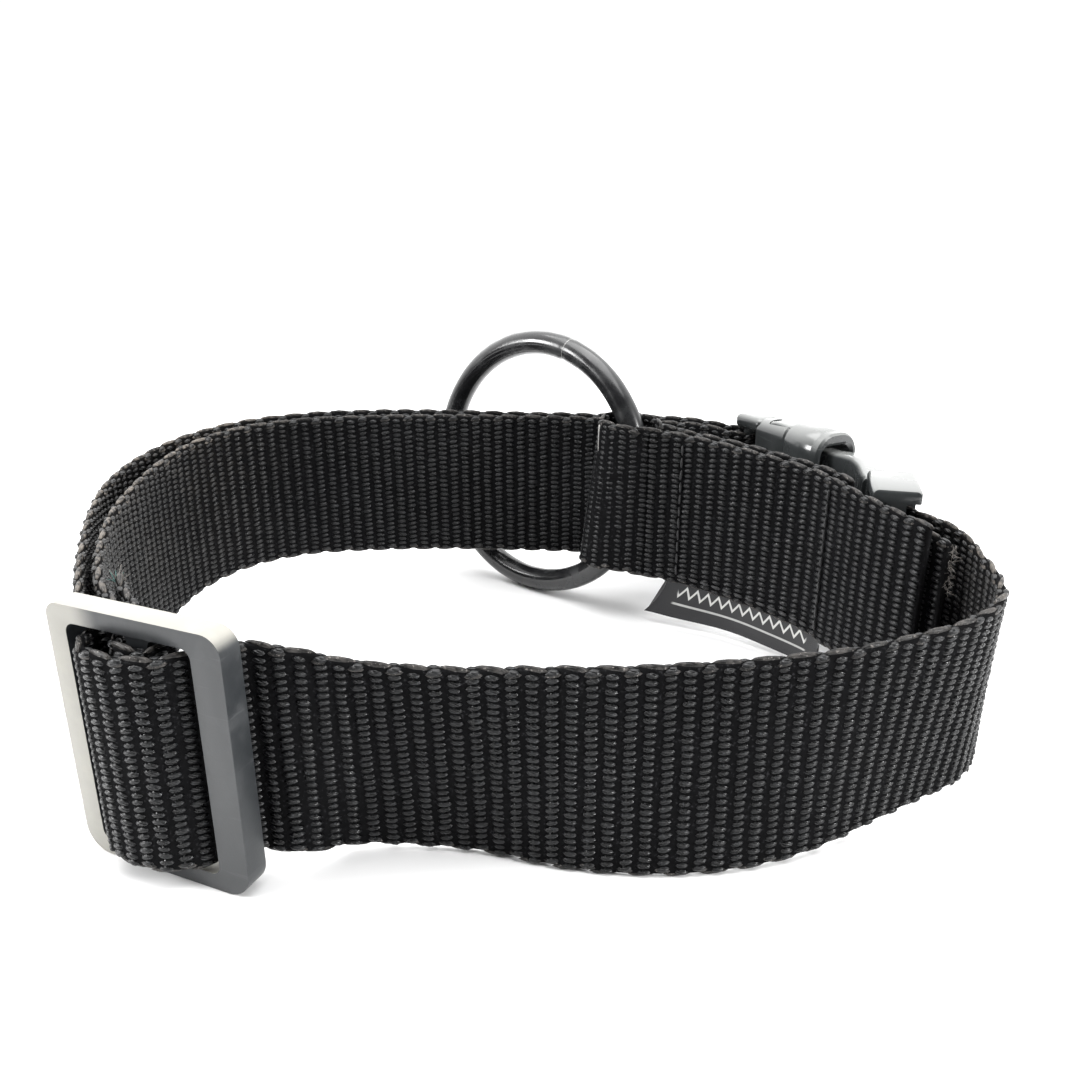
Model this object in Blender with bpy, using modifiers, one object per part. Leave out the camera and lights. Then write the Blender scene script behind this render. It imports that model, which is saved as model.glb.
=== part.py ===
"""Adjustable webbing dog collar: triglide slider, side-release buckle and a keeper-mounted leash ring."""
import math

import bmesh
import bpy
import numpy as np
from mathutils import Matrix, Vector

MM = 0.001

# Shift that puts the middle of the footprint at the origin
PLAN_SHIFT = (5.34, -0.83)

# Webbing
WEB_WIDTH = 38.0
WEB_THICK = 2.1
RUN_GAP = 0.3
JOIN_GAP = 0.5
CURVE_SAMPLES = 24

# Leash ring
RING_WIRE_R = 3.0
RING_OUTER_R = 34.5
RING_CENTRE = (-0.6, 52.6)
RING_TURN = math.radians(-38.5)
RING_LEAN = math.radians(5.7)

# Slider
SLIDER_CENTRE = (-59.2, -65.6, 22.9)
SLIDER_TURN = math.radians(-23.2)
SLIDER_LENGTH = 33.4
SLIDER_OVERHANG = 0.5
SLIDER_HEIGHT = 45.6
SLIDER_THICK = 4.3
SLIDER_CORNER_R = 4.5
SLIDER_EDGE_R = 0.7
WINDOW_LENGTH = 24.4
WINDOW_HEIGHT = 39.6
WINDOW_CORNER_R = 1.6
CENTRE_BAR_WIDTH = 4.0
CENTRE_BAR_THICK = 3.0

# Buckle, measured along its own axis from the web bar of the socket end
BUCKLE_START = (56.0, 55.0)
BUCKLE_AXIS = Vector((0.473, -0.881, 0.0)).normalized()
BUCKLE_Z = (0.0, 47.6)
WEB_BAR_R = 2.0
SHELL_REAR = 5.6
SHELL_STEP = 18.0
SHELL_MOUTH = 31.0
SHELL_WALL = 1.6
SHELL_REAR_HALF = 3.7
SHELL_RING_START = 4.0
SHELL_LIP = 0.8
RAIL_HEIGHT = 4.2
RAIL_INSET = 0.2
WEB_BAR_INSET = 1.5
MOUTH_TAPER = 3.0
WINDOW_CUT = 6.0
RAIL_HALF = 2.9
SHELL_WAIST_HALF = 4.6
SHELL_RISE = 1.4
MOUTH_HALF = 6.4
CHANNEL_HALF = 2.9
CHANNEL_REAR = 7.8
END_WALL = 2.6
ARM_HALF = 2.3
ARM_DEPTH = 4.0
ARM_GAP = 0.4
ARM_TIP = 9.4
ARM_OFFSET = -2.6
ARM_CLEARANCE = 0.5
BARB_LENGTH = 7.6
BARB_RAMP = 2.6
BARB_FACE = 0.6
BARB_NOSE = 0.5
BARB_GAP = 0.1
BARB_INSET = 0.5
BARB_RISE = 0.6
BARB_EDGE_R = 0.2
TONGUE_HALF = 1.6
TONGUE_HEIGHT = 12.0
TONGUE_TIP = 16.0

# Male base block, turned to follow the neck
BLOCK_START = (74.9, 2.8)
BLOCK_AXIS = Vector((-0.236, -0.972, 0.0)).normalized()
BLOCK_LENGTH = 15.0
BLOCK_HALF = 5.0
BLOCK_EDGE_R = 1.0
BLOCK_SLOT = (5.2, 11.2)
BLOCK_SLOT_Z = (3.2, 44.8)
BLOCK_BAR_HALF = 1.9

# Label
LABEL_WIDTH = 40.0
LABEL_DROP = 8.6
LABEL_THICK = 0.6
LABEL_TUCK = 2.6
LABEL_START = 6.2
LABEL_SLANT = 0.8

# Keeper: a short strap folded round the ring and sewn to itself
KEEPER_PLY_START = 7.0
KEEPER_PLY_LENGTH = 42.0
KEEPER_PLY_GAP = 3.4
FOLD_Z = (12.6, 50.6)
FOLD_RISE = 0.4

# Threads
THREAD = 0.7
STITCH_THICK = 0.35
STITCH_GAP = 0.1
STITCH_INSET = 2.2
KEEPER_ROW_INSET = (1.5, 2.0)
SEAM_INSET = 3.0
SLIDER_ROW_INSET = 4.0
PLUG_ROW_INSET = 7.0


def material(name, colour, roughness, metallic=0.0):
    made = bpy.data.materials.new(name)
    made.use_nodes = True
    shader = made.node_tree.nodes["Principled BSDF"]
    shader.inputs["Base Color"].default_value = (*colour, 1.0)
    shader.inputs["Roughness"].default_value = roughness
    shader.inputs["Metallic"].default_value = metallic
    return made


def clear_scene():
    for thing in list(bpy.data.objects):
        bpy.data.objects.remove(thing, do_unlink=True)


def collection(name):
    made = bpy.data.collections.new(name)
    bpy.context.scene.collection.children.link(made)
    return made


def add_object(name, data, surface, home):
    made = bpy.data.objects.new(name, data)
    data.materials.append(surface)
    home.objects.link(made)
    return made


def mesh_object(name, shape, surface, home):
    bmesh.ops.recalc_face_normals(shape, faces=shape.faces)
    data = bpy.data.meshes.new(name)
    shape.to_mesh(data)
    shape.free()
    return add_object(name, data, surface, home)


def fine_curve(points):
    """A smooth curve through the points, with the distance along it and the distance of each point."""
    knots = np.array(points, dtype=float)
    ends = np.vstack([2 * knots[0] - knots[1], knots, 2 * knots[-1] - knots[-2]])
    samples = []
    for i in range(1, len(ends) - 2):
        before, here, there, after = ends[i - 1:i + 3]
        reach = np.linalg.norm((there - here)[:2])
        into = (there - before) / np.linalg.norm((there - before)[:2]) * reach
        out = (after - here) / np.linalg.norm((after - here)[:2]) * reach
        for t in np.linspace(0.0, 1.0, CURVE_SAMPLES, endpoint=False):
            a = 2 * t ** 3 - 3 * t ** 2 + 1
            b = t ** 3 - 2 * t ** 2 + t
            c = t ** 3 - t ** 2
            samples.append(a * here + b * into + (1 - a) * there + c * out)
    samples.append(knots[-1])
    curve = np.array(samples)
    reach = distances(curve)
    return curve, reach, reach[::CURVE_SAMPLES]


def distances(line):
    return np.concatenate([[0.0], np.cumsum(np.linalg.norm(np.diff(line[:, :2], axis=0), axis=1))])


def between(curve, reach, start, stop, step):
    """Even stations on a curve between two distances."""
    count = max(3, int((stop - start) / step) + 2)
    places = np.linspace(start, stop, count)
    return np.column_stack([np.interp(places, reach, curve[:, k]) for k in range(curve.shape[1])])


def smooth_path(points, step):
    curve, reach, _ = fine_curve(points)
    return between(curve, reach, 0.0, reach[-1], step)


def ruled_band(name, foot, top, surface, home, thick=WEB_THICK, rows=2):
    """A band of even thickness spanning two matching lines of points."""
    shape = bmesh.new()
    columns = len(foot)
    bmesh.ops.create_grid(shape, x_segments=columns - 1, y_segments=rows, size=1.0)
    shape.verts.ensure_lookup_table()
    for vert in shape.verts:
        column, row = vert.index % columns, vert.index // columns
        vert.co = Vector(foot[column]).lerp(Vector(top[column]), row / rows) * MM
    band = mesh_object(name, shape, surface, home)
    solid = band.modifiers.new("thickness", "SOLIDIFY")
    solid.thickness = thick * MM
    solid.offset = 0.0
    solid.use_even_offset = True
    return band


def outward(stations):
    """Unit plan normals of a path, pointing away from the middle of the collar."""
    tangent = np.gradient(stations[:, :2], axis=0)
    tangent /= np.linalg.norm(tangent, axis=1)[:, None]
    side = np.column_stack([tangent[:, 1], -tangent[:, 0]])
    side[np.sum(side * stations[:, :2], axis=1) < 0] *= -1
    return side


def offset_path(stations, distance):
    moved = stations.copy()
    moved[:, :2] += outward(stations) * distance
    return moved


def strip(name, stations, surface, home, width=WEB_WIDTH, thick=WEB_THICK):
    """A flat band standing on its edge along the stations, tipped outward at the foot by each lean."""
    side = outward(stations)
    lean = stations[:, 3:4]
    base = stations[:, 2:3] + np.abs(lean) / width * thick / 2
    foot = np.hstack([stations[:, :2] + side * lean / 2, base])
    top = np.hstack([stations[:, :2] - side * lean / 2, base + np.sqrt(width ** 2 - lean ** 2)])
    return ruled_band(name, foot, top, surface, home, thick)


def strap_runs(pieces, surface, home):
    """One strap cut into named runs that meet end to end."""
    points = list(pieces[0][2])
    for _, _, more in pieces[1:]:
        points += more
    curve, reach, marks = fine_curve(points)
    last = -1
    start = 0.0
    lines = []
    for name, step, more in pieces:
        last += len(more)
        lines.append(between(curve, reach, start, marks[last] - JOIN_GAP, step))
        strip(name, lines[-1], surface, home)
        start = marks[last]
    return lines[0], lines[-1]


def box(low, high):
    shape = bmesh.new()
    size = [b - a for a, b in zip(low, high)]
    middle = [(a + b) / 2 for a, b in zip(low, high)]
    place = Matrix.Translation(Vector(middle) * MM) @ Matrix.Diagonal(Vector((*[s * MM for s in size], 1.0)))
    bmesh.ops.create_cube(shape, size=1.0, matrix=place)
    return shape


def round_edges(shape, chosen, radius, segments):
    edges = [edge for edge in shape.edges if chosen(edge)]
    bmesh.ops.bevel(shape, geom=edges, offset=radius * MM, segments=segments, affect="EDGES", profile=0.5)
    return shape


def along(edge, axis):
    direction = edge.verts[1].co - edge.verts[0].co
    return abs(direction.normalized()[axis]) > 0.99


def cut(target, shape, name, spare):
    tool = bpy.data.objects.new(name, bpy.data.meshes.new(name))
    bmesh.ops.recalc_face_normals(shape, faces=shape.faces)
    shape.to_mesh(tool.data)
    shape.free()
    spare.objects.link(tool)
    tool.hide_render = True
    tool.display_type = "WIRE"
    tool.location = target.location
    tool.rotation_euler = target.rotation_euler
    return tool


def boolean(target, shape, name, spare, operation="DIFFERENCE"):
    step = target.modifiers.new(name, "BOOLEAN")
    step.object = cut(target, shape, name, spare)
    step.operation = operation
    step.solver = "EXACT"


def loft(sections):
    """Closed body through rings of points, capped at both ends."""
    shape = bmesh.new()
    rings = [[shape.verts.new(Vector(point) * MM) for point in section] for section in sections]
    for first, second in zip(rings, rings[1:]):
        for i in range(len(first)):
            j = (i + 1) % len(first)
            shape.faces.new((first[i], first[j], second[j], second[i]))
    shape.faces.new(list(reversed(rings[0])))
    shape.faces.new(rings[-1])
    return shape


def rounded_section(reach, half, low, high, corner, steps=5):
    """Rounded rectangle across the buckle at one distance along it."""
    corner = min(corner, half * 0.98, (high - low) * 0.49)
    points = []
    quarters = ((half, high, 0.0), (-half, high, 90.0), (-half, low, 180.0), (half, low, 270.0))
    for side, height, start in quarters:
        centre = (side - math.copysign(corner, side), height - math.copysign(corner, height - (low + high) / 2))
        for k in range(steps + 1):
            turn = math.radians(start + 90.0 * k / steps)
            points.append((reach, centre[0] + corner * math.cos(turn), centre[1] + corner * math.sin(turn)))
    return points


def set_along(thing, start, axis):
    """Places an object with its X along a flat axis and its Z up."""
    thing.location = Vector((*start, 0.0)) * MM
    thing.rotation_euler = (0.0, 0.0, math.atan2(axis.y, axis.x))


def slider_point(along_bar, depth):
    cos, sin = math.cos(SLIDER_TURN), math.sin(SLIDER_TURN)
    x = SLIDER_CENTRE[0] + along_bar * cos - depth * sin
    y = SLIDER_CENTRE[1] + along_bar * sin + depth * cos
    return x, y


def block_point(reach, across):
    side = Vector((-BLOCK_AXIS.y, BLOCK_AXIS.x))
    return (BLOCK_START[0] + BLOCK_AXIS.x * reach + side.x * across,
            BLOCK_START[1] + BLOCK_AXIS.y * reach + side.y * across)


def to_buckle(x, y):
    side = Vector((-BUCKLE_AXIS.y, BUCKLE_AXIS.x))
    offset = Vector((x - BUCKLE_START[0], y - BUCKLE_START[1]))
    return offset.x * BUCKLE_AXIS.x + offset.y * BUCKLE_AXIS.y, offset.dot(side)


def slider_points(places):
    return [(*slider_point(u, v), base, 0.0) for u, v, base in places]


def strap_pieces():
    """Centre of the one long strap, run by run from the tail at the slider to the tail at the plug."""
    tail = slider_points([
        (-20.4, 15.4, 5.0), (-15.4, 11.8, 4.5), (-10.4, 8.4, 4.2), (-5.6, 5.0, 4.0), (-2.0, 3.05, 4.0)])
    loop = slider_points([
        (0.8, 3.05, 4.0), (2.9, 2.7, 4.0), (3.6, 1.5, 4.0), (3.6, -1.5, 4.0), (2.8, -2.8, 4.0), (0.6, -3.05, 4.0),
        (-1.8, -3.05, 4.0), (-3.8, -2.0, 4.0), (-5.0, -0.3, 4.0), (-6.5, 2.0, 4.0), (-9.6, 5.2, 4.2),
        (-14.6, 8.4, 4.6)])
    inner = [(-74.5, -45.0, 5.0, 0.0), (-80.5, -30.0, 5.8, 0.0), (-85.0, -13.0, 6.6, 0.5),
             (-86.6, 3.0, 7.2, 1.0), (-86.4, 18.0, 7.8, 1.0), (-83.4, 31.5, 8.4, 0.5), (-75.5, 43.5, 8.8, 0.0),
             (-62.3, 50.6, 9.2, 0.0), (-45.0, 53.2, 9.4, 0.0), (-25.0, 53.6, 9.6, 0.0), (-5.0, 52.7, 9.6, 0.0),
             (12.0, 52.0, 9.3, 0.0), (28.0, 51.4, 8.6, 0.0), (42.0, 51.0, 7.8, 0.0), (51.0, 51.3, 5.6, 0.0)]
    grip = WEB_BAR_R + RUN_GAP + WEB_THICK / 2
    turn = []
    for degrees in range(-90, 91, 45):
        angle = math.radians(degrees)
        turn.append((BUCKLE_START[0] + grip * math.cos(angle), BUCKLE_START[1] + grip * math.sin(angle), 5.0, 0.0))
    turn.append((51.5, 58.6, 5.6, 0.0))
    outer = [(40.0, 58.2, 7.6, 0.0), (24.0, 57.0, 8.8, 0.0), (8.0, 56.2, 9.4, 0.0),
             (-8.0, 56.3, 9.7, 0.0), (-26.0, 58.0, 9.8, 0.0), (-44.0, 59.0, 9.6, 0.0), (-62.0, 57.2, 9.2, 0.0),
             (-78.0, 50.5, 8.6, 0.0), (-88.6, 38.0, 7.8, 0.0), (-93.4, 22.0, 7.0, 0.0), (-93.8, 6.0, 6.3, 0.0),
             (-90.6, -10.0, 5.6, 0.0), (-84.4, -29.0, 5.0, 0.0), (-78.6, -44.0, 4.4, 0.0)]
    over = slider_points([
        (-18.2, 5.4, 4.0), (-14.6, 4.6, 3.9), (-12.0, 3.9, 3.8), (-10.5, 2.3, 3.7), (-10.3, 0.0, 3.7),
        (-9.8, -2.6, 3.7), (-8.0, -4.8, 3.7), (-5.0, -5.6, 3.7), (-1.0, -5.8, 3.7), (3.2, -5.0, 3.7),
        (6.9, -2.7, 3.7), (9.3, 0.8, 3.7), (11.4, 4.2, 3.6), (14.2, 6.1, 3.4), (18.6, 7.4, 3.0)])
    front = [(-30.0, -63.8, 1.0, -5.0), (-20.0, -63.9, 0.4, -6.0), (-9.0, -64.7, 0.0, -5.2), (3.0, -66.6, 0.0, -1.6),
             (14.8, -67.4, 0.0, 0.7), (26.8, -66.5, 0.0, 1.9), (38.4, -64.4, 0.2, 1.0), (48.0, -61.6, 0.6, -1.4),
             (58.2, -57.0, 1.1, -3.6)]
    bend = [(68.4, -51.8, 1.6, -4.6), (76.8, -45.6, 2.0, -2.5), (81.2, -37.8, 2.6, 0.5),
            (82.4, -29.0, 3.4, 2.0), (82.0, -21.5, 4.2, 1.0), (79.6, -15.0, 4.8, 0.0)]
    hold = BLOCK_BAR_HALF + RUN_GAP + WEB_THICK / 2
    wrap = BLOCK_SLOT[1] - RUN_GAP * 2 - WEB_THICK / 2
    plug = [(*block_point(r, a), 5.0, 0.0) for r, a in (
        (13.4, hold + 1.5), (11.4, hold + 0.5), (wrap + 0.5, hold - 0.6), (wrap, 1.2), (wrap, -1.5),
        (10.6, -hold), (12.4, -hold - 0.4), (15.0, -hold - 0.4))]
    plug += [(71.0, -17.0, 5.2, 0.0), (74.8, -22.2, 4.8, 0.0), (77.5, -28.4, 4.2, 0.0)]
    return [("strap_tail_at_slider", 2.0, tail), ("strap_loop_at_slider", 1.2, loop), ("strap_inner_run", 3.0, inner),
            ("strap_loop_at_socket", 1.2, turn), ("strap_outer_run", 3.0, outer), ("strap_over_slider", 1.4, over),
            ("strap_front", 3.0, front), ("strap_right_bend", 2.5, bend), ("strap_loop_at_plug", 1.4, plug)]


def build():
    clear_scene()
    parts = collection("dog_collar")
    spare = collection("cutters")
    nylon = material("black_nylon", (0.012, 0.012, 0.013), 0.85)
    wire = material("black_lacquered_steel", (0.01, 0.01, 0.011), 0.25, 0.6)
    plastic = material("black_acetal", (0.03, 0.03, 0.032), 0.4)
    satin = material("black_satin_tape", (0.015, 0.015, 0.016), 0.45)
    thread = material("black_thread", (0.014, 0.014, 0.015), 0.7)
    first_run, last_run = strap_runs(strap_pieces(), nylon, parts)
    build_ring(wire, parts)
    build_slider(plastic, parts, spare)
    build_buckle(plastic, parts, spare)
    path = build_keeper(nylon, satin, parts)
    build_stitches(path, first_run, last_run, thread, parts)
    for thing in bpy.data.objects:
        thing.location += Vector((*PLAN_SHIFT, 0.0)) * MM


def build_ring(surface, home):
    shape = bmesh.new()
    radius = RING_OUTER_R - RING_WIRE_R
    sides, turns = 14, 72
    profile = []
    for i in range(sides):
        angle = 2 * math.pi * i / sides
        point = Vector((radius + RING_WIRE_R * math.cos(angle), RING_WIRE_R * math.sin(angle), 0.0)) * MM
        profile.append(shape.verts.new(point))
    edges = [shape.edges.new((profile[i], profile[(i + 1) % sides])) for i in range(sides)]
    bmesh.ops.spin(shape, geom=profile + edges, cent=(0, 0, 0), axis=(0, 1, 0), angle=2 * math.pi,
                   steps=turns, use_merge=True)
    bmesh.ops.remove_doubles(shape, verts=shape.verts, dist=1e-6)
    lean = Matrix.Rotation(-RING_LEAN, 4, "X")
    place = Matrix.Translation(Vector((-radius * MM, 0, 0)))
    bmesh.ops.transform(shape, matrix=lean @ place, verts=shape.verts)
    ring = mesh_object("leash_ring", shape, surface, home)
    leg = Vector((math.cos(RING_TURN), math.sin(RING_TURN), 0.0)) * radius
    rise = radius * math.cos(RING_LEAN) + RING_WIRE_R
    ring.location = (Vector((*RING_CENTRE, rise)) + leg) * MM
    ring.rotation_euler = (0.0, 0.0, RING_TURN)


def build_slider(surface, home, spare):
    half = (SLIDER_LENGTH / 2, SLIDER_THICK / 2, SLIDER_HEIGHT / 2)
    shape = box([-half[0] - SLIDER_OVERHANG, -half[1], -half[2]], [half[0] - SLIDER_OVERHANG, half[1], half[2]])
    round_edges(shape, lambda e: along(e, 1), SLIDER_CORNER_R, 6)
    round_edges(shape, lambda e: not along(e, 1), SLIDER_EDGE_R, 2)
    slider = mesh_object("slider", shape, surface, home)
    slider.location = Vector(SLIDER_CENTRE) * MM
    slider.rotation_euler = (0.0, 0.0, SLIDER_TURN)
    for sign, name in ((-1, "left_slot"), (1, "right_slot")):
        near, far = CENTRE_BAR_WIDTH / 2 * sign, WINDOW_LENGTH / 2 * sign
        low = (min(near, far), -SLIDER_THICK, -WINDOW_HEIGHT / 2)
        high = (max(near, far), SLIDER_THICK, WINDOW_HEIGHT / 2)
        slot = round_edges(box(low, high), lambda e: along(e, 1), WINDOW_CORNER_R, 4)
        boolean(slider, slot, name, spare)
    relief = (SLIDER_THICK - CENTRE_BAR_THICK) / 2
    for sign, name in ((-1, "front_relief"), (1, "rear_relief")):
        near, far = CENTRE_BAR_THICK / 2 * sign, (CENTRE_BAR_THICK / 2 + relief + 1.0) * sign
        low = (-CENTRE_BAR_WIDTH / 2 - 1.0, min(near, far), -WINDOW_HEIGHT / 2 + 0.01)
        high = (CENTRE_BAR_WIDTH / 2 + 1.0, max(near, far), WINDOW_HEIGHT / 2 - 0.01)
        boolean(slider, box(low, high), name, spare)


def build_buckle(surface, home, spare):
    low, high = BUCKLE_Z
    crown = high + SHELL_RISE
    sections = [
        rounded_section(SHELL_REAR, SHELL_REAR_HALF, low + 0.2, high - 0.2, 2.2),
        rounded_section(SHELL_STEP - 0.6, SHELL_WAIST_HALF, low + 0.4, crown - 0.6, 2.6),
        rounded_section(SHELL_STEP, SHELL_WAIST_HALF + 0.9, low + 0.1, crown - 0.2, 3.2),
        rounded_section(SHELL_STEP + SHELL_RING_START, MOUTH_HALF - 0.3, low, crown, 3.6),
        rounded_section(SHELL_MOUTH - SHELL_LIP, MOUTH_HALF, low, crown, 3.8),
        rounded_section(SHELL_MOUTH, MOUTH_HALF - 0.6, low + 0.6, crown - 0.6, 3.6)]
    shell = mesh_object("buckle_socket", loft(sections), surface, home)
    set_along(shell, BUCKLE_START, BUCKLE_AXIS)
    for name, base in (("lower_rail", low + RAIL_INSET), ("upper_rail", high - RAIL_HEIGHT + RAIL_INSET)):
        top = base + RAIL_HEIGHT - 2 * RAIL_INSET
        rail = box((-RAIL_HALF, -RAIL_HALF, base), (SHELL_REAR + 1.0, RAIL_HALF, top))
        round_edges(rail, lambda e: along(e, 0), 1.2, 2)
        boolean(shell, rail, name, spare, "UNION")
    post = bmesh.new()
    middle = Matrix.Translation(Vector((0, 0, (low + high) / 2)) * MM)
    bmesh.ops.create_cone(post, cap_ends=True, segments=20, radius1=WEB_BAR_R * MM, radius2=WEB_BAR_R * MM,
                          depth=(high - low - 2 * WEB_BAR_INSET) * MM, matrix=middle)
    boolean(shell, post, "web_bar", spare, "UNION")
    floor, roof = low + END_WALL, high - END_WALL
    mouth = [
        rounded_section(CHANNEL_REAR, CHANNEL_HALF, floor, roof, 1.2),
        rounded_section(SHELL_STEP, CHANNEL_HALF, floor, roof, 1.2),
        rounded_section(SHELL_STEP + MOUTH_TAPER, MOUTH_HALF - SHELL_WALL - 0.4, floor, roof, 3.4),
        rounded_section(SHELL_MOUTH + 1.0, MOUTH_HALF - SHELL_WALL, floor - 0.4, roof + 0.4, 3.8)]
    boolean(shell, loft(mouth), "mouth", spare)
    for name, base, top in (("lower_window", low - 1.0, low + WINDOW_CUT),
                            ("upper_window", high - WINDOW_CUT, crown + 1.0)):
        window = box((SHELL_STEP - BARB_LENGTH - 0.9, -CHANNEL_HALF, base), (SHELL_STEP - 0.3, CHANNEL_HALF, top))
        boolean(shell, window, name, spare)
    build_plug(surface, home, spare)


def arm_line():
    """Centre of a prong arm: straight inside the socket, then curved towards the block."""
    root = to_buckle(*block_point(-ARM_GAP, ARM_OFFSET))
    near = to_buckle(*block_point(-ARM_GAP - 3.0, ARM_OFFSET))
    return [(ARM_TIP, 0.0), (SHELL_STEP, 0.0), (SHELL_MOUTH - 2.0, 0.0),
            (SHELL_MOUTH + 8.0, -0.3), near, root]


def build_plug(surface, home, spare):
    low, high = BUCKLE_Z
    shape = box((0.0, -BLOCK_HALF, low), (BLOCK_LENGTH, BLOCK_HALF, high))
    round_edges(shape, lambda e: along(e, 2), BLOCK_EDGE_R, 2)
    block = mesh_object("buckle_plug_base", shape, surface, home)
    set_along(block, BLOCK_START, BLOCK_AXIS)
    slot_low, slot_high = BLOCK_SLOT_Z
    slot = box((BLOCK_SLOT[0], -BLOCK_HALF - 1, slot_low), (BLOCK_SLOT[1], BLOCK_HALF + 1, slot_high))
    boolean(block, slot, "plug_slot", spare)
    for sign, name in ((-1, "inner_web_relief"), (1, "outer_web_relief")):
        near, far = sorted((BLOCK_BAR_HALF * sign, (BLOCK_HALF + 1) * sign))
        relief = box((BLOCK_SLOT[1] - 1.0, near, slot_low), (BLOCK_LENGTH + 1, far, slot_high))
        boolean(block, relief, name, spare)

    line = swept(arm_line())
    arm_low = END_WALL + ARM_CLEARANCE
    for name, flip in (("prong_lower", 1.0), ("prong_upper", -1.0)):
        prong = arm(name, line, arm_low, arm_low + ARM_DEPTH, flip, ARM_HALF, surface, home)
        set_along(prong, BUCKLE_START, BUCKLE_AXIS)
        set_pivot(prong, (line[-1][0], line[-1][1], mirrored(arm_low + ARM_DEPTH / 2, flip)))
        build_barb(name.replace("prong", "barb"), flip, arm_low, surface, home)
    middle = (low + high) / 2
    tongue = arm("plug_guide_tongue", swept([(TONGUE_TIP, 0.0)] + arm_line()[1:]), middle - TONGUE_HEIGHT / 2,
                 middle + TONGUE_HEIGHT / 2, 1.0, TONGUE_HALF, surface, home)
    set_along(tongue, BUCKLE_START, BUCKLE_AXIS)


def swept(line):
    return smooth_path([(x, y, 0.0, 0.0) for x, y in line], 1.5)


def mirrored(height, flip):
    """A height on the buckle, or its twin the same distance from the other end."""
    centre = sum(BUCKLE_Z) / 2
    return centre + flip * (height - centre)


def set_pivot(thing, point):
    """Moves an object's origin to a point in its own frame, leaving its shape where it is."""
    pivot = Vector(point) * MM
    thing.data.transform(Matrix.Translation(-pivot))
    thing.location += Matrix.Rotation(thing.rotation_euler.z, 3, "Z") @ pivot


def build_barb(name, flip, arm_low, surface, home):
    """The catch on a prong's outer edge: a ramp that rises to a square face."""
    base = arm_low - BARB_GAP
    peak = BUCKLE_Z[0] + BARB_INSET
    if flip < 0:
        peak -= SHELL_RISE * BARB_RISE
    rear, face = SHELL_STEP - BARB_LENGTH, SHELL_STEP - BARB_FACE
    sections = []
    for reach, top in ((rear, base - BARB_NOSE), (rear + BARB_RAMP, peak), (face, peak)):
        low, high = sorted((mirrored(top, flip), mirrored(base, flip)))
        sections.append(rounded_section(reach, ARM_HALF - BARB_GAP, low, high, BARB_EDGE_R, 1))
    barb = mesh_object(name, loft(sections), surface, home)
    set_along(barb, BUCKLE_START, BUCKLE_AXIS)


def arm(name, line, low, high, flip, half, surface, home):
    """A flat bar swept along the line; flip mirrors it to the top of the buckle."""
    low, high = sorted((mirrored(low, flip), mirrored(high, flip)))
    tangent = np.gradient(line[:, :2], axis=0)
    tangent /= np.linalg.norm(tangent, axis=1)[:, None]
    sections = []
    for station, direction in zip(line, tangent):
        ring = []
        for _, across, height in rounded_section(0.0, half, low, high, 0.8, 2):
            ring.append((station[0] - direction[1] * across, station[1] + direction[0] * across, height))
        sections.append(ring)
    return mesh_object(name, loft(sections), surface, home)


def part_of(path, start, length, count):
    """Even stations over a stretch of a path, by distance from its start."""
    places = np.linspace(start, start + length, count)
    return np.column_stack([np.interp(places, distances(path), path[:, k]) for k in range(path.shape[1])])


def build_keeper(nylon, satin, home):
    path = smooth_path([(25.5, 27.6, 12.6, 0.0), (33.0, 24.5, 12.0, 0.0), (42.0, 19.0, 11.2, 0.0),
                        (51.0, 11.8, 10.3, 0.0), (59.0, 3.4, 9.5, 0.0), (62.7, -4.6, 9.0, 0.0),
                        (65.6, -12.4, 8.6, 0.0), (68.7, -19.0, 8.2, 0.0), (72.9, -25.8, 7.6, 0.0)], 3.0)
    strip("keeper_inner_run", path, nylon, home)
    ply = offset_path(part_of(path, KEEPER_PLY_START, KEEPER_PLY_LENGTH, 16), KEEPER_PLY_GAP)
    strip("keeper_outer_ply", ply, nylon, home)
    build_fold(tuple(path[0][:2]), tuple(ply[0][:2]), nylon, home)
    tape = offset_path(part_of(path, LABEL_START, LABEL_WIDTH, 16), KEEPER_PLY_GAP / 2)
    tape[:, 2] -= np.linspace(LABEL_DROP, LABEL_DROP - LABEL_SLANT, len(tape))
    strip("label", tape, satin, home, width=LABEL_DROP + LABEL_TUCK, thick=LABEL_THICK)
    return path


def build_fold(start, finish, nylon, home):
    """The keeper's turn round the ring's wire, which leans, so its foot and top follow different lines."""
    low, high = FOLD_Z
    lines = []
    for base, turn in ((low, [(19.0, 30.0), (13.6, 31.8), (10.9, 34.9), (11.6, 39.4), (16.0, 42.2), (22.0, 41.4)]),
                       (high, [(21.4, 28.0), (17.2, 31.0), (15.4, 35.0), (16.2, 39.8), (19.6, 42.4), (24.0, 41.6)])):
        plan = [start] + turn + [(27.6, 37.7), (29.0, 33.2), (30.7, 29.6), finish]
        rise = np.interp(range(len(plan)), (0, 2, 6, len(plan) - 1), (0.0, FOLD_RISE, FOLD_RISE, 0.0))
        lines.append(smooth_path([(*point, base + lift, 0.0) for point, lift in zip(plan, rise)], 1.2))
    foot, top = trim_pair(*lines)
    ruled_band("keeper_fold", foot[:, :3], top[:, :3], nylon, home)


def trim_pair(foot, top):
    count = max(len(foot), len(top))
    lines = []
    for line in (foot, top):
        reach = distances(line)
        lines.append(part_of(line, RUN_GAP, reach[-1] - 2 * RUN_GAP, count))
    return lines


def stitch_row(name, line, thread, home, width=WEB_WIDTH - 2 * STITCH_INSET):
    """A line of sewing lying on the inner face of a strap, drawn as one thread."""
    row = offset_path(line, -(WEB_THICK / 2 + STITCH_GAP + STITCH_THICK / 2))
    row[:, 2] += STITCH_INSET
    strip(name, row, thread, home, width=width, thick=STITCH_THICK)


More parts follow.
